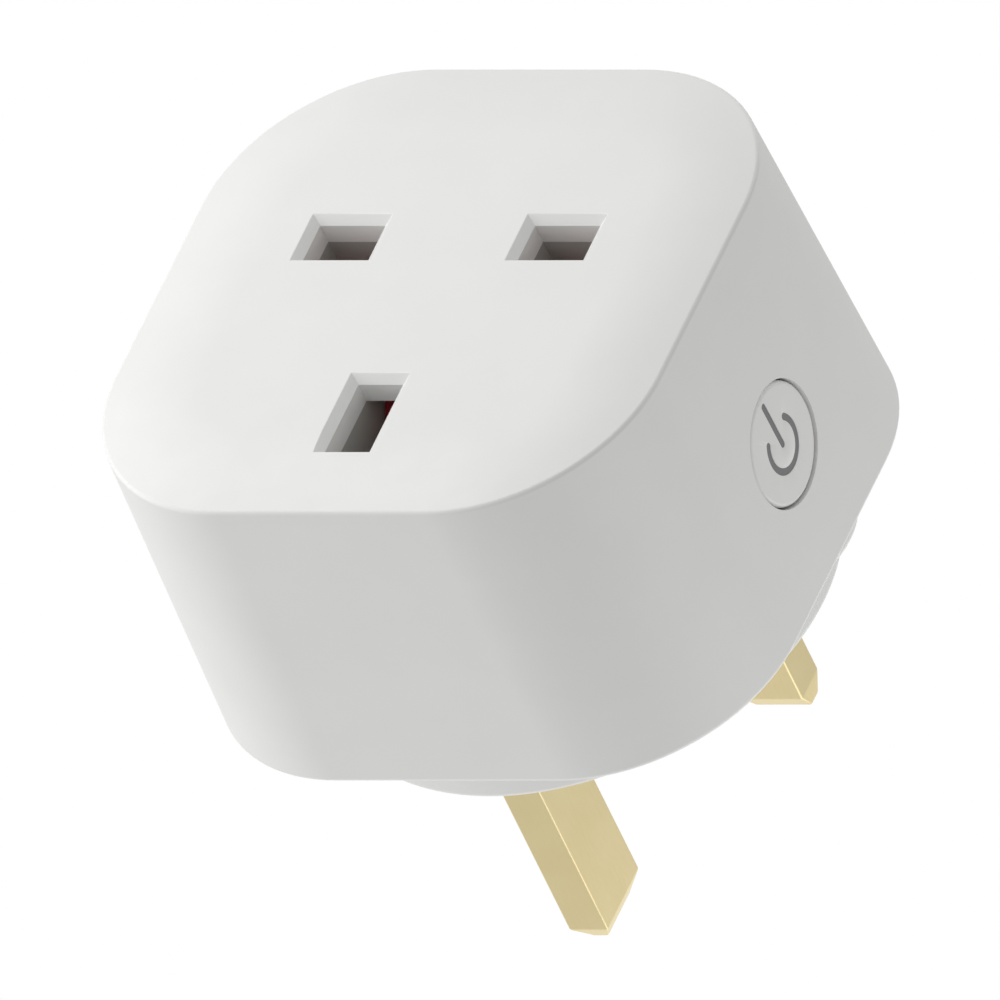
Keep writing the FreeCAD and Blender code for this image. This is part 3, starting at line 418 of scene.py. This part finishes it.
def solder_mask(name, mask, laminate, axis):
    """Solder mask over copper on glass epoxy: glossy, with paler tracks a millimetre apart,
    and the bare woven laminate at the cut edges."""
    tree, shader = new_material(name, mask, 0.28, ior=1.52)
    place = add_node(tree, "ShaderNodeTexCoord").outputs["Object"]
    cells = add_node(tree, "ShaderNodeTexVoronoi", {"Vector": place, "Scale": 1 / (2.2 * MM)},
                     feature="F1", distance="MANHATTAN")
    tracks = add_node(tree, "ShaderNodeMapRange", {
        "Value": cells.outputs["Distance"], "From Min": 0.48, "From Max": 0.52})
    face = add_node(tree, "ShaderNodeMix", {0: tracks, 6: shade(mask, 1.0), 7: shade(mask, 1.8)},
                    data_type="RGBA")
    weave = add_node(tree, "ShaderNodeTexNoise", {"Vector": place, "Scale": 1 / (0.3 * MM)})
    fibre = add_node(tree, "ShaderNodeMix", {
        0: weave, 6: shade(laminate, 0.8), 7: shade(laminate, 1.1)}, data_type="RGBA")
    normal = add_node(tree, "ShaderNodeNewGeometry").outputs["Normal"]
    part = add_node(tree, "ShaderNodeSeparateXYZ", {"Vector": normal}).outputs[axis]
    side_on = add_node(tree, "ShaderNodeMath", {0: part}, operation="ABSOLUTE")
    is_face = add_node(tree, "ShaderNodeMapRange", {
        "Value": side_on, "From Min": 0.6, "From Max": 0.8})
    both = add_node(tree, "ShaderNodeMix", {
        0: is_face, 6: fibre.outputs[2], 7: face.outputs[2]}, data_type="RGBA")
    sheen = add_node(tree, "ShaderNodeMapRange", {"Value": is_face, "To Min": 0.65, "To Max": 0.28})
    join_up(tree, shader, both, sheen, tracks, 0.02 * MM)


# Slot: name, colour (or the property that holds it), roughness, IOR, grain and relief in mm.
PLASTICS = {
    "white_housing": ("polycarbonate_white_moulded", "housing", 0.42, 1.58, 0.30, 0.0020),
    "button_white": ("abs_white_moulded", "button", 0.38, 1.53, 0.30, 0.0016),
    "icon_grey": ("abs_grey_inlay", "icon", 0.50, 1.53, 0.20, 0.0020),
    "sleeve_black": ("nylon_black_sleeve", "1B1B1C", 0.45, 1.53, 0.25, 0.0030),
    "shutter_red": ("acetal_red_moulded", "shutter", 0.42, 1.48, 0.30, 0.0020),
    # A9A9A4 is the carrier's own grey. The shutter guide inside the apertures takes it too, as painted
    # shade that darkens the walls of the holes.
    "carrier_grey": ("nylon_grey_moulded", "A9A9A4", 0.52, 1.53, 0.35, 0.0040),
    "part_black": ("epoxy_black_moulded", "1E1E20", 0.55, 1.55, 0.15, 0.0040),
    "relay_blue": ("pbt_blue_case", "2C4F8C", 0.35, 1.57, 0.30, 0.0020),
    "capacitor_sleeve": ("shrink_sleeve_dark", "23242E", 0.30, 1.54, 0.60, 0.0060),
    "ferrite_grey": ("ferrite_sintered", "3A3A3C", 0.70, 1.60, 0.12, 0.0060),
    "varistor_blue": ("epoxy_blue_dipped", "2A5A9E", 0.32, 1.55, 0.90, 0.0200),
    "resistor_green": ("resistor_coating_pale", "8FA592", 0.45, 1.52, 0.50, 0.0050),
    "led_clear": ("led_resin", "EDEEE6", 0.12, 1.50, 0.50, 0.0010),
}
# Slot: name, colour, roughness, stretch of the lines along X, Y and Z, relief in mm.
METALS = {
    "pin_brass": ("brass_satin_drawn", "brass", 0.42, (1.0, 14.0, 1.0), 0.0010),
    "spring_steel": ("spring_wire_drawn", "C9C9C8", 0.28, (1.0, 1.0, 1.0), 0.0006),
    "contact_bronze": ("phosphor_bronze_rolled", "D69A6A", 0.34, (1.0, 14.0, 1.0), 0.0010),
    "strap_copper": ("copper_tinned_rolled", "D8C2AC", 0.38, (1.0, 14.0, 1.0), 0.0010),
    "screw_steel": ("steel_zinc_plated", "C4C4BC", 0.32, (1.0, 1.0, 1.0), 0.0010),
    "shield_tin": ("steel_tinned_pressed", "CDCCC6", 0.30, (1.0, 10.0, 1.0), 0.0008),
    "winding_copper": ("copper_enamelled_wire", "B4622C", 0.26, (1.0, 1.0, 1.0), 0.0010),
    "shunt_alloy": ("manganin_strip", "A89A86", 0.40, (14.0, 1.0, 1.0), 0.0010),
}
# Slot: name, mask colour, laminate colour, and the axis that the board's faces look along.
BOARDS = {
    "board_green": ("solder_mask_green", "0F4A28", "B7A878", "Y"),
    "board_blue": ("solder_mask_blue", "10264F", "B7A878", "X"),
}
FINISHES = {slot: row[0] for table in (PLASTICS, METALS, BOARDS) for slot, row in table.items()}


class PLUG_OT_finishes(bpy.types.Operator):
    """Makes every finish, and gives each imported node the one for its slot"""
    bl_idname = "smart_plug.finishes"
    bl_label = "Finishes"

    def execute(self, context):
        colours = context.scene.plug_colours

        def base(value):
            return tuple(getattr(colours, value)) if hasattr(colours, value) else linear(value)

        for name, value, *rest in PLASTICS.values():
            moulded_plastic(name, base(value), *rest)
        for name, value, *rest in METALS.values():
            worked_metal(name, base(value), *rest)
        for name, mask, laminate, axis in BOARDS.values():
            solder_mask(name, linear(mask), linear(laminate), axis)
        for node in frame["nodes"].values():
            for held in node.material_slots:
                slot = held.material.name.split(".")[0]
                held.material = bpy.data.materials[FINISHES[slot]]
        return {"FINISHED"}


# ---- Housing ----

def face_rounding(sizes):
    """Slow fall of the face towards its edge, then a tight corner, as (inset, depth)."""
    width = sizes.face_fall_width
    path = []
    for step in range(EDGE_STEPS):
        run = step / EDGE_STEPS * width
        path.append((width + sizes.face_edge - run, sizes.face_fall * (run / width) ** 2))
    return path + [(inset, sizes.face_fall + drop) for inset, drop
                   in quarter(sizes.face_edge, FACE_EDGE_STEPS)]


def face_half(sizes):
    """Half the outline's width at the face, from its width at the rim and the draft."""
    return HOUSING_HIGH.x - sizes.draft * (SHELL_DEPTH - sizes.rim_edge)


def outline_rows(sizes, path):
    """Rings of the drafted outline at (inset, depth) points."""
    rows = []
    for inset, depth in path:
        half = face_half(sizes) + sizes.draft * depth - inset
        rows.append((half, half, sizes.corner_radius - inset, FACE_Y + depth))
    return rows


def housing_shell(sizes):
    """Drafted rounded square with a rounded face edge and rim, hollow from behind."""
    bm = bmesh.new()
    ledge = SHELL_DEPTH - sizes.rim_depth
    rim = reversed(quarter(sizes.rim_edge, EDGE_STEPS))
    path = face_rounding(sizes) + [(inset, SHELL_DEPTH - drop) for inset, drop in rim]
    path += [(sizes.rim_wall, SHELL_DEPTH), (sizes.rim_wall, ledge), (sizes.side_wall, ledge),
             (sizes.side_wall, sizes.face_wall)]
    skin(bm, outline_rows(sizes, path), steps=CORNER_STEPS)
    return to_object(bm, "housing_moulding")


def housing_core(sizes):
    """The housing's outline filled in, just inside its skin."""
    bm = bmesh.new()
    inset = sizes.side_wall / 2
    ends = ((inset, inset), (inset, SHELL_DEPTH - sizes.rim_depth + inset))
    skin(bm, outline_rows(sizes, ends), steps=CORNER_STEPS)
    return to_object(bm, "core")


def aperture_cutter(bm, centre, width, height, chamfer, wall):
    """Rectangular hole with a chamfered mouth."""
    rows = [(width / 2 + margin, height / 2 + margin, 0.0, FACE_Y + depth) for margin, depth
            in ((2 * chamfer, -chamfer), (0.0, chamfer), (0.0, wall + chamfer))]
    skin(bm, rows, (centre.x, centre.z))


def cover_screw_places():
    """Centres (x, z) of the four screws in the corners of the rear cover."""
    low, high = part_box("cover_screws")
    head = HEAD_RADIUS["cover_screws"]
    return [(x, z) for x in (low.x + head, high.x - head) for z in (low.z + head, high.z - head)]


def carrier_screw_places():
    """Centres (x, z) of the four screws of the contact carrier."""
    low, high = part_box("carrier_screws")
    head = HEAD_RADIUS["carrier_screws"]
    lower = high.x - head
    upper = lower - UPPER_SCREWS_INWARD
    return ([(side * upper, high.z - head) for side in (-1, 1)]
            + [(side * lower, low.z + head) for side in (-1, 1)])


def retainer_screw_places():
    """Centres (x, z) of the three screws of the pin retainer."""
    low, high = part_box("retainer_screws")
    head = HEAD_RADIUS["retainer_screws"]
    return [(0.0, low.z + head), (low.x + head, high.z - head), (high.x - head, high.z - head)]


class PLUG_OT_housing(bpy.types.Operator):
    """Face and side walls in one moulding, with chamfered apertures and screw posts"""
    bl_idname = "smart_plug.housing"
    bl_label = "Housing"

    def execute(self, context):
        sizes = context.scene.plug_housing
        holes = context.scene.plug_sockets
        button = context.scene.plug_button
        piece = housing_shell(sizes)
        sunk = sizes.face_wall / 2
        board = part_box("control_board")[0].y - FACE_Y
        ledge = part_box("rear_cover")[0].y - FACE_Y
        posts = bmesh.new()
        for x, z in cover_screw_places():
            profile = [(0.0, sunk), (sizes.corner_post, sunk), (sizes.corner_post, board),
                       (sizes.post_tip, board), (sizes.post_tip, ledge), (0.0, ledge)]
            add_turned(posts, profile, along_y(x, FACE_Y, z), ROUND["corner_post"])
        posts = to_object(posts, "posts")
        combine(posts, housing_core(sizes), "INTERSECT")
        combine(piece, posts, "UNION")
        posts = bmesh.new()
        for x, z in carrier_screw_places():
            add_turned(posts, rod(sizes.carrier_post, sizes.carrier_post_end - sunk),
                       along_y(x, FACE_Y + sunk, z), ROUND["post"])
        combine(piece, to_object(posts, "posts"), "UNION")
        cutters = bmesh.new()
        for name, width, height in (("live_aperture", holes.line_width, holes.line_height),
                                    ("neutral_aperture", holes.line_width, holes.line_height),
                                    ("earth_aperture", holes.earth_width, holes.earth_height)):
            aperture_cutter(cutters, MOUNTS[name], width, height, holes.chamfer, sizes.face_wall)
        low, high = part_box("power_button")
        middle = (low + high) / 2
        add_turned(cutters, rod(button.radius + button.gap, HOLE_REACH),
                   along_x(HOUSING_LOW.x - sizes.side_wall, middle.y, middle.z),
                   ROUND["hollow"])
        for x, z in cover_screw_places():
            add_turned(cutters, rod(PILOT["cover_screws"], HOLE_REACH + sizes.side_wall),
                       along_y(x, FACE_Y + ledge - HOLE_REACH, z), ROUND["pilot"])
        for x, z in carrier_screw_places():
            add_turned(cutters, rod(PILOT["carrier_screws"], HOLE_REACH),
                       along_y(x, FACE_Y + 1.2 * sizes.face_wall, z), ROUND["pilot"])
        combine(piece, to_object(cutters, "cutters"), "DIFFERENCE")
        mouth = FACE_Y + 0.5 * holes.chamfer
        flat = HOUSING_HIGH.x - sizes.corner_radius / 2
        soften(piece, sizes.crisp_edge, lambda edge: all(
            vert.co.y < mouth and abs(vert.co.x) < flat and abs(vert.co.z) < flat
            for vert in edge.verts))
        hand_over(piece, "housing", "white_housing", "front_housing")
        return {"FINISHED"}


# ---- Rear cover ----

def cover_body(sizes):
    """Plate, round boss and stepped pad in one."""
    low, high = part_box("rear_cover")
    row = MOUNTS["live_pin_blade"].z
    bm = bmesh.new()
    crisp = sizes.slot_gap
    rows = [(high.x - inset, high.z - inset, sizes.corner_radius - inset, y) for inset, y
            in ((crisp, low.y), (0.0, low.y + crisp), (0.0, low.y + sizes.plate - crisp),
                (crisp, low.y + sizes.plate))]
    skin(bm, rows, steps=CORNER_STEPS)
    piece = to_object(bm, "cover_moulding")
    sunk = sizes.plate / 2
    bm = bmesh.new()
    profile = [(0.0, 0.0)]
    for inset, drop in quarter(sizes.edge, EDGE_STEPS):
        profile.append((sizes.boss_radius - inset, drop))
    profile += [(sizes.boss_radius, high.y - low.y - sunk), (0.0, high.y - low.y - sunk)]
    turned = [(radius, -height) for radius, height in profile]
    add_turned(bm, turned, along_y(0.0, high.y, 0.0), ROUND["boss"])
    combine(piece, to_object(bm, "boss"), "UNION")
    bm = bmesh.new()
    pad_y = high.y - sizes.pad_setback
    end_radius = sizes.pad_end_radius * 0.999
    rows = [(sizes.pad_half_length, sizes.pad_end_radius, end_radius, low.y + sunk)]
    for inset, drop in reversed(quarter(sizes.edge, EDGE_STEPS)):
        rows.append((sizes.pad_half_length - inset, sizes.pad_end_radius - inset,
                     end_radius - inset, pad_y - drop))
    skin(bm, rows, (0.0, row), PAD_STEPS)
    combine(piece, to_object(bm, "pad"), "UNION")
    return piece


class PLUG_OT_rear_cover(bpy.types.Operator):
    """Plate inside the rim, with the round boss that meets the wall and its stepped pad"""
    bl_idname = "smart_plug.rear_cover"
    bl_label = "Rear cover"

    def execute(self, context):
        sizes = context.scene.plug_cover
        pins = context.scene.plug_pins
        low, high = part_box("rear_cover")
        piece = cover_body(sizes)
        floor = high.y - sizes.boss_floor
        bm = bmesh.new()
        add_turned(bm, rod(sizes.boss_radius - sizes.boss_wall, floor - low.y + HOLE_REACH),
                   along_y(0.0, low.y - HOLE_REACH, 0.0), ROUND["hollow"])
        combine(piece, to_object(bm, "hollow"), "DIFFERENCE")
        bm = bmesh.new()
        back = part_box("retainer_screws")[0].y + RETAINER_HEAD
        for x, z in retainer_screw_places():
            add_turned(bm, rod(RETAINER_POST, floor - back + sizes.boss_floor / 2),
                       along_y(x, back, z), ROUND["post"])
        combine(piece, to_object(bm, "posts"), "UNION")
        bm = bmesh.new()
        gap = sizes.slot_gap
        for name, width, height in (("live_pin_blade", pins.line_width, pins.thickness),
                                    ("neutral_pin_blade", pins.line_width, pins.thickness),
                                    ("earth_pin_blade", pins.thickness, pins.earth_height)):
            centre = MOUNTS[name]
            add_prism(bm, width / 2 + gap, height / 2 + gap, pins.edge, floor - sizes.edge,
                      high.y + sizes.edge, (centre.x, centre.z))
        plate_back = low.y + sizes.plate
        pilot_length = high.y - back - sizes.boss_floor / 2 + HOLE_REACH
        for x, z in cover_screw_places():
            add_turned(bm, rod(sizes.screw_hole, 2 * sizes.plate),
                       along_y(x, low.y - sizes.plate / 2, z), ROUND["post"])
        for x, z in retainer_screw_places():
            add_turned(bm, rod(PILOT["retainer_screws"], pilot_length),
                       along_y(x, back - HOLE_REACH, z), ROUND["pilot"])
        combine(piece, to_object(bm, "slots"), "DIFFERENCE")
        bm = bmesh.new()
        for x, z in cover_screw_places():
            add_turned(bm, rod(sizes.counterbore, HOLE_REACH),
                       along_y(x, plate_back - sizes.screw_head, z),
                       ROUND["counterbore"])
        combine(piece, to_object(bm, "counterbores"), "DIFFERENCE")
        crisp = sizes.slot_gap
        soften(piece, crisp, lambda edge: all(vert.co.y > plate_back - crisp / 2
                                              for vert in edge.verts))
        hand_over(piece, "housing", "white_housing", "rear_cover")
        return {"FINISHED"}


# ---- Pins ----

def add_pin_root(bm, name, sizes):
    """Collar inside the cover, with a stub riveted over the strap."""
    low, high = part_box(name)
    centre = MOUNTS[name + "_blade"]
    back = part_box("rear_cover")[1].y - COVER_FLOOR
    front = back - sizes.collar
    reach = (high.x - low.x) / 2
    tall = (high.z - low.z) / 2
    crisp = sizes.edge
    rows = [(reach - inset, tall - inset, crisp, y) for inset, y
            in ((crisp, front), (0.0, front + crisp), (0.0, back - crisp), (crisp, back))]
    skin(bm, rows, (centre.x, centre.z), PIN_STEPS)
    edge = 0.4 * sizes.rivet_height
    profile = [(0.0, 0.0)]
    profile += [(sizes.rivet_head - inset, drop) for inset, drop in quarter(edge, PIN_STEPS)]
    profile += [(sizes.rivet_head, sizes.rivet_height), (sizes.rivet_radius, sizes.rivet_height),
                (sizes.rivet_radius, front - low.y + sizes.collar / 2),
                (0.0, front - low.y + sizes.collar / 2)]
    return profile, along_y(centre.x, low.y, centre.z)


def make_pin(name, sections, sizes):
    """A bar through (half width, half height, corner radius, y) sections, with its root."""
    centre = MOUNTS[name + "_blade"]
    bm = bmesh.new()
    skin(bm, sections, (centre.x, centre.z), PIN_STEPS)
    piece = to_object(bm, name + "_brass")
    collar = bmesh.new()
    profile, place = add_pin_root(collar, name, sizes)
    combine(piece, to_object(collar, "collar"), "UNION")
    rivet = bmesh.new()
    add_turned(rivet, profile, place, ROUND["rivet"])
    combine(piece, to_object(rivet, "rivet"), "UNION")
    hand_over(piece, "housing", "pin_brass", name)


# Rings of a pin's tip: how far along the taper, then inset, setback and corner in edge widths.
TIP_RINGS = ((0.0, 0.0, 0.5, 1.0), (0.06, 0.0, 0.0, 1.0), (1.0, 0.0, 1.0, 0.9),
             (1.0, 0.35, 0.3, 0.9), (1.0, 1.0, 0.0, 0.9))


def tip_sections(half_x, half_z, narrow_x, narrow_z, end, sizes):
    """Last stretch of a pin: a taper whose edges are all slightly rounded."""
    edge = sizes.edge
    rows = []
    for along, inset, back, corner in TIP_RINGS:
        rows.append((half_x - narrow_x * along - inset * edge,
                     half_z - narrow_z * along - inset * edge, corner * edge,
                     end - sizes.tip_length * (1 - along) - back * edge))
    return rows


class PLUG_OT_pins(bpy.types.Operator):
    """Three flat brass pins with tapered tips and softened edges"""
    bl_idname = "smart_plug.pins"
    bl_label = "Pins"

    def execute(self, context):
        sizes = context.scene.plug_pins
        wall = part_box("rear_cover")[1].y
        root = wall - COVER_FLOOR - sizes.collar / 2
        half_thick = sizes.thickness / 2
        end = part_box("earth_pin")[1].y
        tall = sizes.earth_height / 2
        make_pin("earth_pin", [(half_thick, tall, sizes.edge, root)] + tip_sections(
            half_thick, tall, sizes.tip_chamfer, sizes.tip_chamfer, end, sizes), sizes)
        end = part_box("live_pin")[1].y
        wide = sizes.line_width / 2
        sleeve_end = wall + sizes.sleeve_length
        wall_in = sizes.sleeve_wall
        edge = sizes.edge
        sections = [(wide - wall_in, half_thick - wall_in, edge / 3, root),
                    (wide - wall_in, half_thick - wall_in, edge / 3, sleeve_end),
                    (wide - edge / 2, half_thick - edge / 2, edge / 2, sleeve_end),
                    (wide, half_thick, edge, sleeve_end + edge / 2)]
        sections += tip_sections(wide, half_thick, sizes.tip_side, sizes.tip_chamfer, end, sizes)
        for name in ("live_pin", "neutral_pin"):
            make_pin(name, sections, sizes)
        return {"FINISHED"}


class PLUG_OT_sleeves(bpy.types.Operator):
    """Black insulating sleeves let into the live and neutral pins"""
    bl_idname = "smart_plug.sleeves"
    bl_label = "Pin sleeves"

    def execute(self, context):
        sizes = context.scene.plug_pins
        crisp = sizes.edge / 3
        for side in ("live", "neutral"):
            low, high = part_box(side + "_pin_sleeve")
            centre = MOUNTS[side + "_pin_blade"]
            half_x = (high.x - low.x) / 2
            half_z = (high.z - low.z) / 2
            wall = sizes.sleeve_wall
            path = [(wall, low.y), (crisp, low.y), (0.0, low.y + crisp), (0.0, high.y - crisp),
                    (crisp, high.y), (wall, high.y)]
            bm = bmesh.new()
            rows = [(half_x - inset, half_z - inset, crisp if inset == wall else sizes.edge, y)
                    for inset, y in path + path[:1]]
            skin(bm, rows, (centre.x, centre.z), PIN_STEPS, closed=False)
            hand_over(to_object(bm, side + "_sleeve"), "housing", "sleeve_black",
                      side + "_pin_sleeve")
        return {"FINISHED"}


# ---- Button ----

def lean(piece, middle, draft, inner_x):
    """Turns the outer face of a piece to lie along the drafted wall."""
    for vert in piece.data.vertices:
        if vert.co.x < inner_x:
            vert.co.x -= draft * (vert.co.y - middle.y)


def icon_sign(sizes, middle, x_low, x_high):
    """Open ring and a line, the usual sign for power, as a slab along X."""
    half = sizes.icon_stroke / 2
    bm = bmesh.new()

    def along(start, centre, angle, steps):
        """Outline from a point round a centre. Returns its last point."""
        swept = bmesh.ops.spin(bm, geom=[start], cent=centre, axis=(1, 0, 0), angle=angle,
                               steps=steps)
        return next(item for item in swept["geom_last"] if isinstance(item, bmesh.types.BMVert))

    centre = Vector((x_low, middle.y, middle.z))
    first = centre + Matrix.Rotation(sizes.icon_gap, 3, "X") @ Vector((0, -sizes.icon_radius, 0))
    last = centre + Matrix.Rotation(-sizes.icon_gap, 3, "X") @ Vector((0, -sizes.icon_radius, 0))
    sweep = 2 * math.pi - 2 * sizes.icon_gap
    point = bm.verts.new(first + (first - centre).normalized() * half)
    for pivot, angle, steps in ((centre, sweep, 64), (last, math.pi, 12), (centre, -sweep, 64),
                                (first, math.pi, 12)):
        point = along(point, pivot, angle, steps)
    tip = centre - Vector((0.0, sizes.icon_line, 0.0))
    start = bm.verts.new(centre + Vector((0, 0, half)))
    near = along(start, centre, -math.pi, 12)
    far = bm.verts.new(tip - Vector((0, 0, half)))
    end = along(far, tip, -math.pi, 12)
    bm.edges.new((near, far))
    bm.edges.new((end, start))
    bmesh.ops.remove_doubles(bm, verts=bm.verts[:], dist=MERGE)
    bmesh.ops.edgenet_fill(bm, edges=bm.edges[:])
    raised = bmesh.ops.extrude_face_region(bm, geom=bm.faces[:], use_keep_orig=True)["geom"]
    shift = [item for item in raised if isinstance(item, bmesh.types.BMVert)]
    bmesh.ops.translate(bm, vec=(x_high - x_low, 0.0, 0.0), verts=shift)
    return to_object(bm, "icon_inlay")


class PLUG_OT_button(bpy.types.Operator):
    """Round power button with its icon let in, square to the drafted wall"""
    bl_idname = "smart_plug.button"
    bl_label = "Power button"

    def execute(self, context):
        sizes = context.scene.plug_button
        housing = context.scene.plug_housing
        low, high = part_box("power_button")
        middle = (low + high) / 2
        wall_x = button_wall_x(housing, middle)
        face_x = wall_x + sizes.recess
        flange_x = wall_x + housing.side_wall + sizes.flange_gap
        flange_radius = (high.z - low.z) / 2
        profile = [(0.0, 0.0)]
        profile += [(sizes.radius - inset, drop) for inset, drop in quarter(sizes.edge, FACE_EDGE_STEPS)]
        crisp = sizes.gap / 4
        profile += [(sizes.radius, flange_x - face_x), (flange_radius - crisp, flange_x - face_x),
                    (flange_radius, flange_x - face_x + crisp),
                    (flange_radius, flange_x + sizes.flange - face_x),
                    (sizes.stem_radius, flange_x + sizes.flange - face_x),
                    (sizes.stem_radius, high.x - face_x), (0.0, high.x - face_x)]
        bm = bmesh.new()
        add_turned(bm, profile, along_x(face_x, middle.y, middle.z), ROUND["cap"])
        cap = to_object(bm, "button_cap")
        lean(cap, middle, housing.draft, face_x + 1.5 * sizes.edge)
        floor_x = face_x + sizes.icon_groove
        groove = icon_sign(sizes, middle, face_x - sizes.edge, floor_x)
        combine(cap, groove, "DIFFERENCE")
        soften(cap, sizes.icon_sink / 3, lambda edge: all(
            vert.co.x < face_x + sizes.icon_sink
            and (vert.co - middle).yz.length < 1.4 * sizes.icon_radius for vert in edge.verts) and
            max(vert.co.x + housing.draft * (vert.co.y - middle.y) for vert in edge.verts)
            < face_x + sizes.icon_sink / 2)
        hand_over(cap, "button", "button_white", "power_button")
        icon = icon_sign(sizes, middle, face_x + sizes.icon_sink, floor_x)
        lean(icon, middle, housing.draft, face_x + 1.5 * sizes.icon_sink)
        soften(icon, sizes.icon_sink / 3, lambda edge: all(
            vert.co.x + housing.draft * (vert.co.y - middle.y) < face_x + 1.5 * sizes.icon_sink
            for vert in edge.verts))
        hand_over(icon, "button", "icon_grey", "button_icon")
        return {"FINISHED"}


def button_wall_x(housing, middle):
    """Outside of the drafted wall at the middle of the button."""
    return -(face_half(housing) + housing.draft * (middle.y - FACE_Y))


# ---- Studio ----

def aim(direction, up):
    """Rotation that looks along a direction with that up."""
    back = -Vector(direction).normalized()
    right = Vector(up).cross(back).normalized()
    return Matrix((right, back.cross(right), back)).transposed().to_4x4()


class PLUG_OT_studio(bpy.types.Operator):
    """Pale floor, soft lights and the camera"""
    bl_idname = "smart_plug.studio"
    bl_label = "Studio"

    def execute(self, context):
        scene = context.scene
        sizes = scene.plug_studio
        scene.view_settings.view_transform = "Standard"
        upside_down = Matrix(((-1, 0, 0), (0, 0, -1), (0, -1, 0)))
        look = (upside_down @ Matrix.Rotation(sizes.tilt, 3, "X")
                @ Matrix.Rotation(sizes.turn, 3, "Y"))
        right, up, back = look.col[0], look.col[1], look.col[2]
        aim_at = Vector((0.0, FACE_Y, 0.0)) + sizes.across * right - sizes.down * up
        data = bpy.data.cameras.new("camera")
        data.type = "ORTHO"
        data.ortho_scale = sizes.width
        data.clip_start = 0.01
        data.clip_end = 20.0
        camera = bpy.data.objects.new("camera", data)
        camera.matrix_world = Matrix.Translation(aim_at + CAMERA_AWAY * back) @ look.to_4x4()
        scene.collection.objects.link(camera)
        scene.camera = camera
        world = bpy.data.worlds.new("studio_air")
        world.use_nodes = True
        tree = world.node_tree
        tree.nodes.clear()
        seen = add_node(tree, "ShaderNodeLightPath").outputs["Is Camera Ray"]
        dim = add_node(tree, "ShaderNodeBackground", {"Color": (1, 1, 1, 1), "Strength": sizes.sky})
        bright = add_node(tree, "ShaderNodeBackground", {"Color": (1, 1, 1, 1), "Strength": 1.0})
        both = add_node(tree, "ShaderNodeMixShader", {0: seen, 1: dim, 2: bright})
        add_node(tree, "ShaderNodeOutputWorld", {"Surface": both})
        scene.world = world
        low_left = -0.95 * right - 0.24 * up - 0.2 * back
        for name, direction, away, size, power in (
                ("key_softbox", -0.8 * right + 0.6 * up, SOFTBOX_AWAY, SOFTBOX_SIZE,
                 sizes.key_light),
                ("low_softbox", low_left, SOFTBOX_AWAY, SOFTBOX_SIZE, sizes.low_light),
                ("rear_panel", Vector((0.0, 1.0, 0.0)), PANEL_AWAY, SOFTBOX_SIZE,
                 sizes.rear_light),
                ("side_softbox", Vector((-0.55, 0.83, 0.1)), SIDE_AWAY, SIDE_SIZE,
                 sizes.side_light)):
            lamp = bpy.data.lights.new(name, "AREA")
            lamp.shape = "DISK"
            lamp.size = size
            lamp.energy = power
            light = bpy.data.objects.new(name, lamp)
            light.matrix_world = Matrix.Translation(aim_at + away * direction) @ aim(
                -direction, LAMP_UP)
            light.visible_camera = False
            scene.collection.objects.link(light)
        self.add_floor(scene)
        return {"FINISHED"}

    def add_floor(self, scene):
        """Pale floor far below, out of the light's way."""
        bm = bmesh.new()
        bmesh.ops.create_grid(bm, x_segments=1, y_segments=1, size=FLOOR_HALF)
        bmesh.ops.translate(bm, vec=(0.0, 0.0, -FLOOR_BELOW), verts=bm.verts[:])
        floor = to_object(bm, "floor")
        tree, shader = new_material("paper_white_matt", linear("F7F7F7"), 0.9)
        shader.inputs["Emission Color"].default_value = (1.0, 1.0, 1.0, 1.0)
        shader.inputs["Emission Strength"].default_value = 0.62
        place = add_node(tree, "ShaderNodeTexCoord").outputs["Object"]
        fibre = add_node(tree, "ShaderNodeTexNoise", {"Vector": place, "Scale": 1 / (4.0 * MM)})
        normal = add_node(tree, "ShaderNodeBump", {"Height": fibre, "Distance": 0.01 * MM})
        tree.links.new(normal.outputs[0], shader.inputs["Normal"])
        floor.data.materials.append(bpy.data.materials["paper_white_matt"])


# ---- Panel ----

STEPS = ("finishes", "housing", "rear_cover", "pins", "sleeves", "button", "studio")


class PLUG_PT_panel(bpy.types.Panel):
    """Lists the steps in the order that they run"""
    bl_idname = "PLUG_PT_panel"
    bl_label = "Smart plug"
    bl_space_type = "VIEW_3D"
    bl_region_type = "UI"
    bl_category = "Smart Plug"

    def draw(self, context):
        column = self.layout.column(align=True)
        for step in STEPS:
            column.operator("smart_plug." + step)


GROUPS = {"plug_housing": PlugHousingSizes, "plug_sockets": PlugSocketSizes,
          "plug_cover": PlugCoverSizes, "plug_pins": PlugPinSizes,
          "plug_button": PlugButtonSizes, "plug_colours": PlugColours,
          "plug_studio": PlugStudioSizes}
OPERATORS = (PLUG_OT_finishes, PLUG_OT_housing, PLUG_OT_rear_cover, PLUG_OT_pins,
             PLUG_OT_sleeves, PLUG_OT_button, PLUG_OT_studio)


def register():
    for name, group in GROUPS.items():
        bpy.utils.register_class(group)
        setattr(bpy.types.Scene, name, PointerProperty(type=group))
    for item in OPERATORS + (PLUG_PT_panel,):
        bpy.utils.register_class(item)


def unregister():
    for item in (PLUG_PT_panel,) + OPERATORS[::-1]:
        bpy.utils.unregister_class(item)
    for name, group in GROUPS.items():
        delattr(bpy.types.Scene, name)
        bpy.utils.unregister_class(group)


def main():
    register()
    for step in STEPS:
        getattr(bpy.ops.smart_plug, step)()


if __name__ == "__main__":
    main()
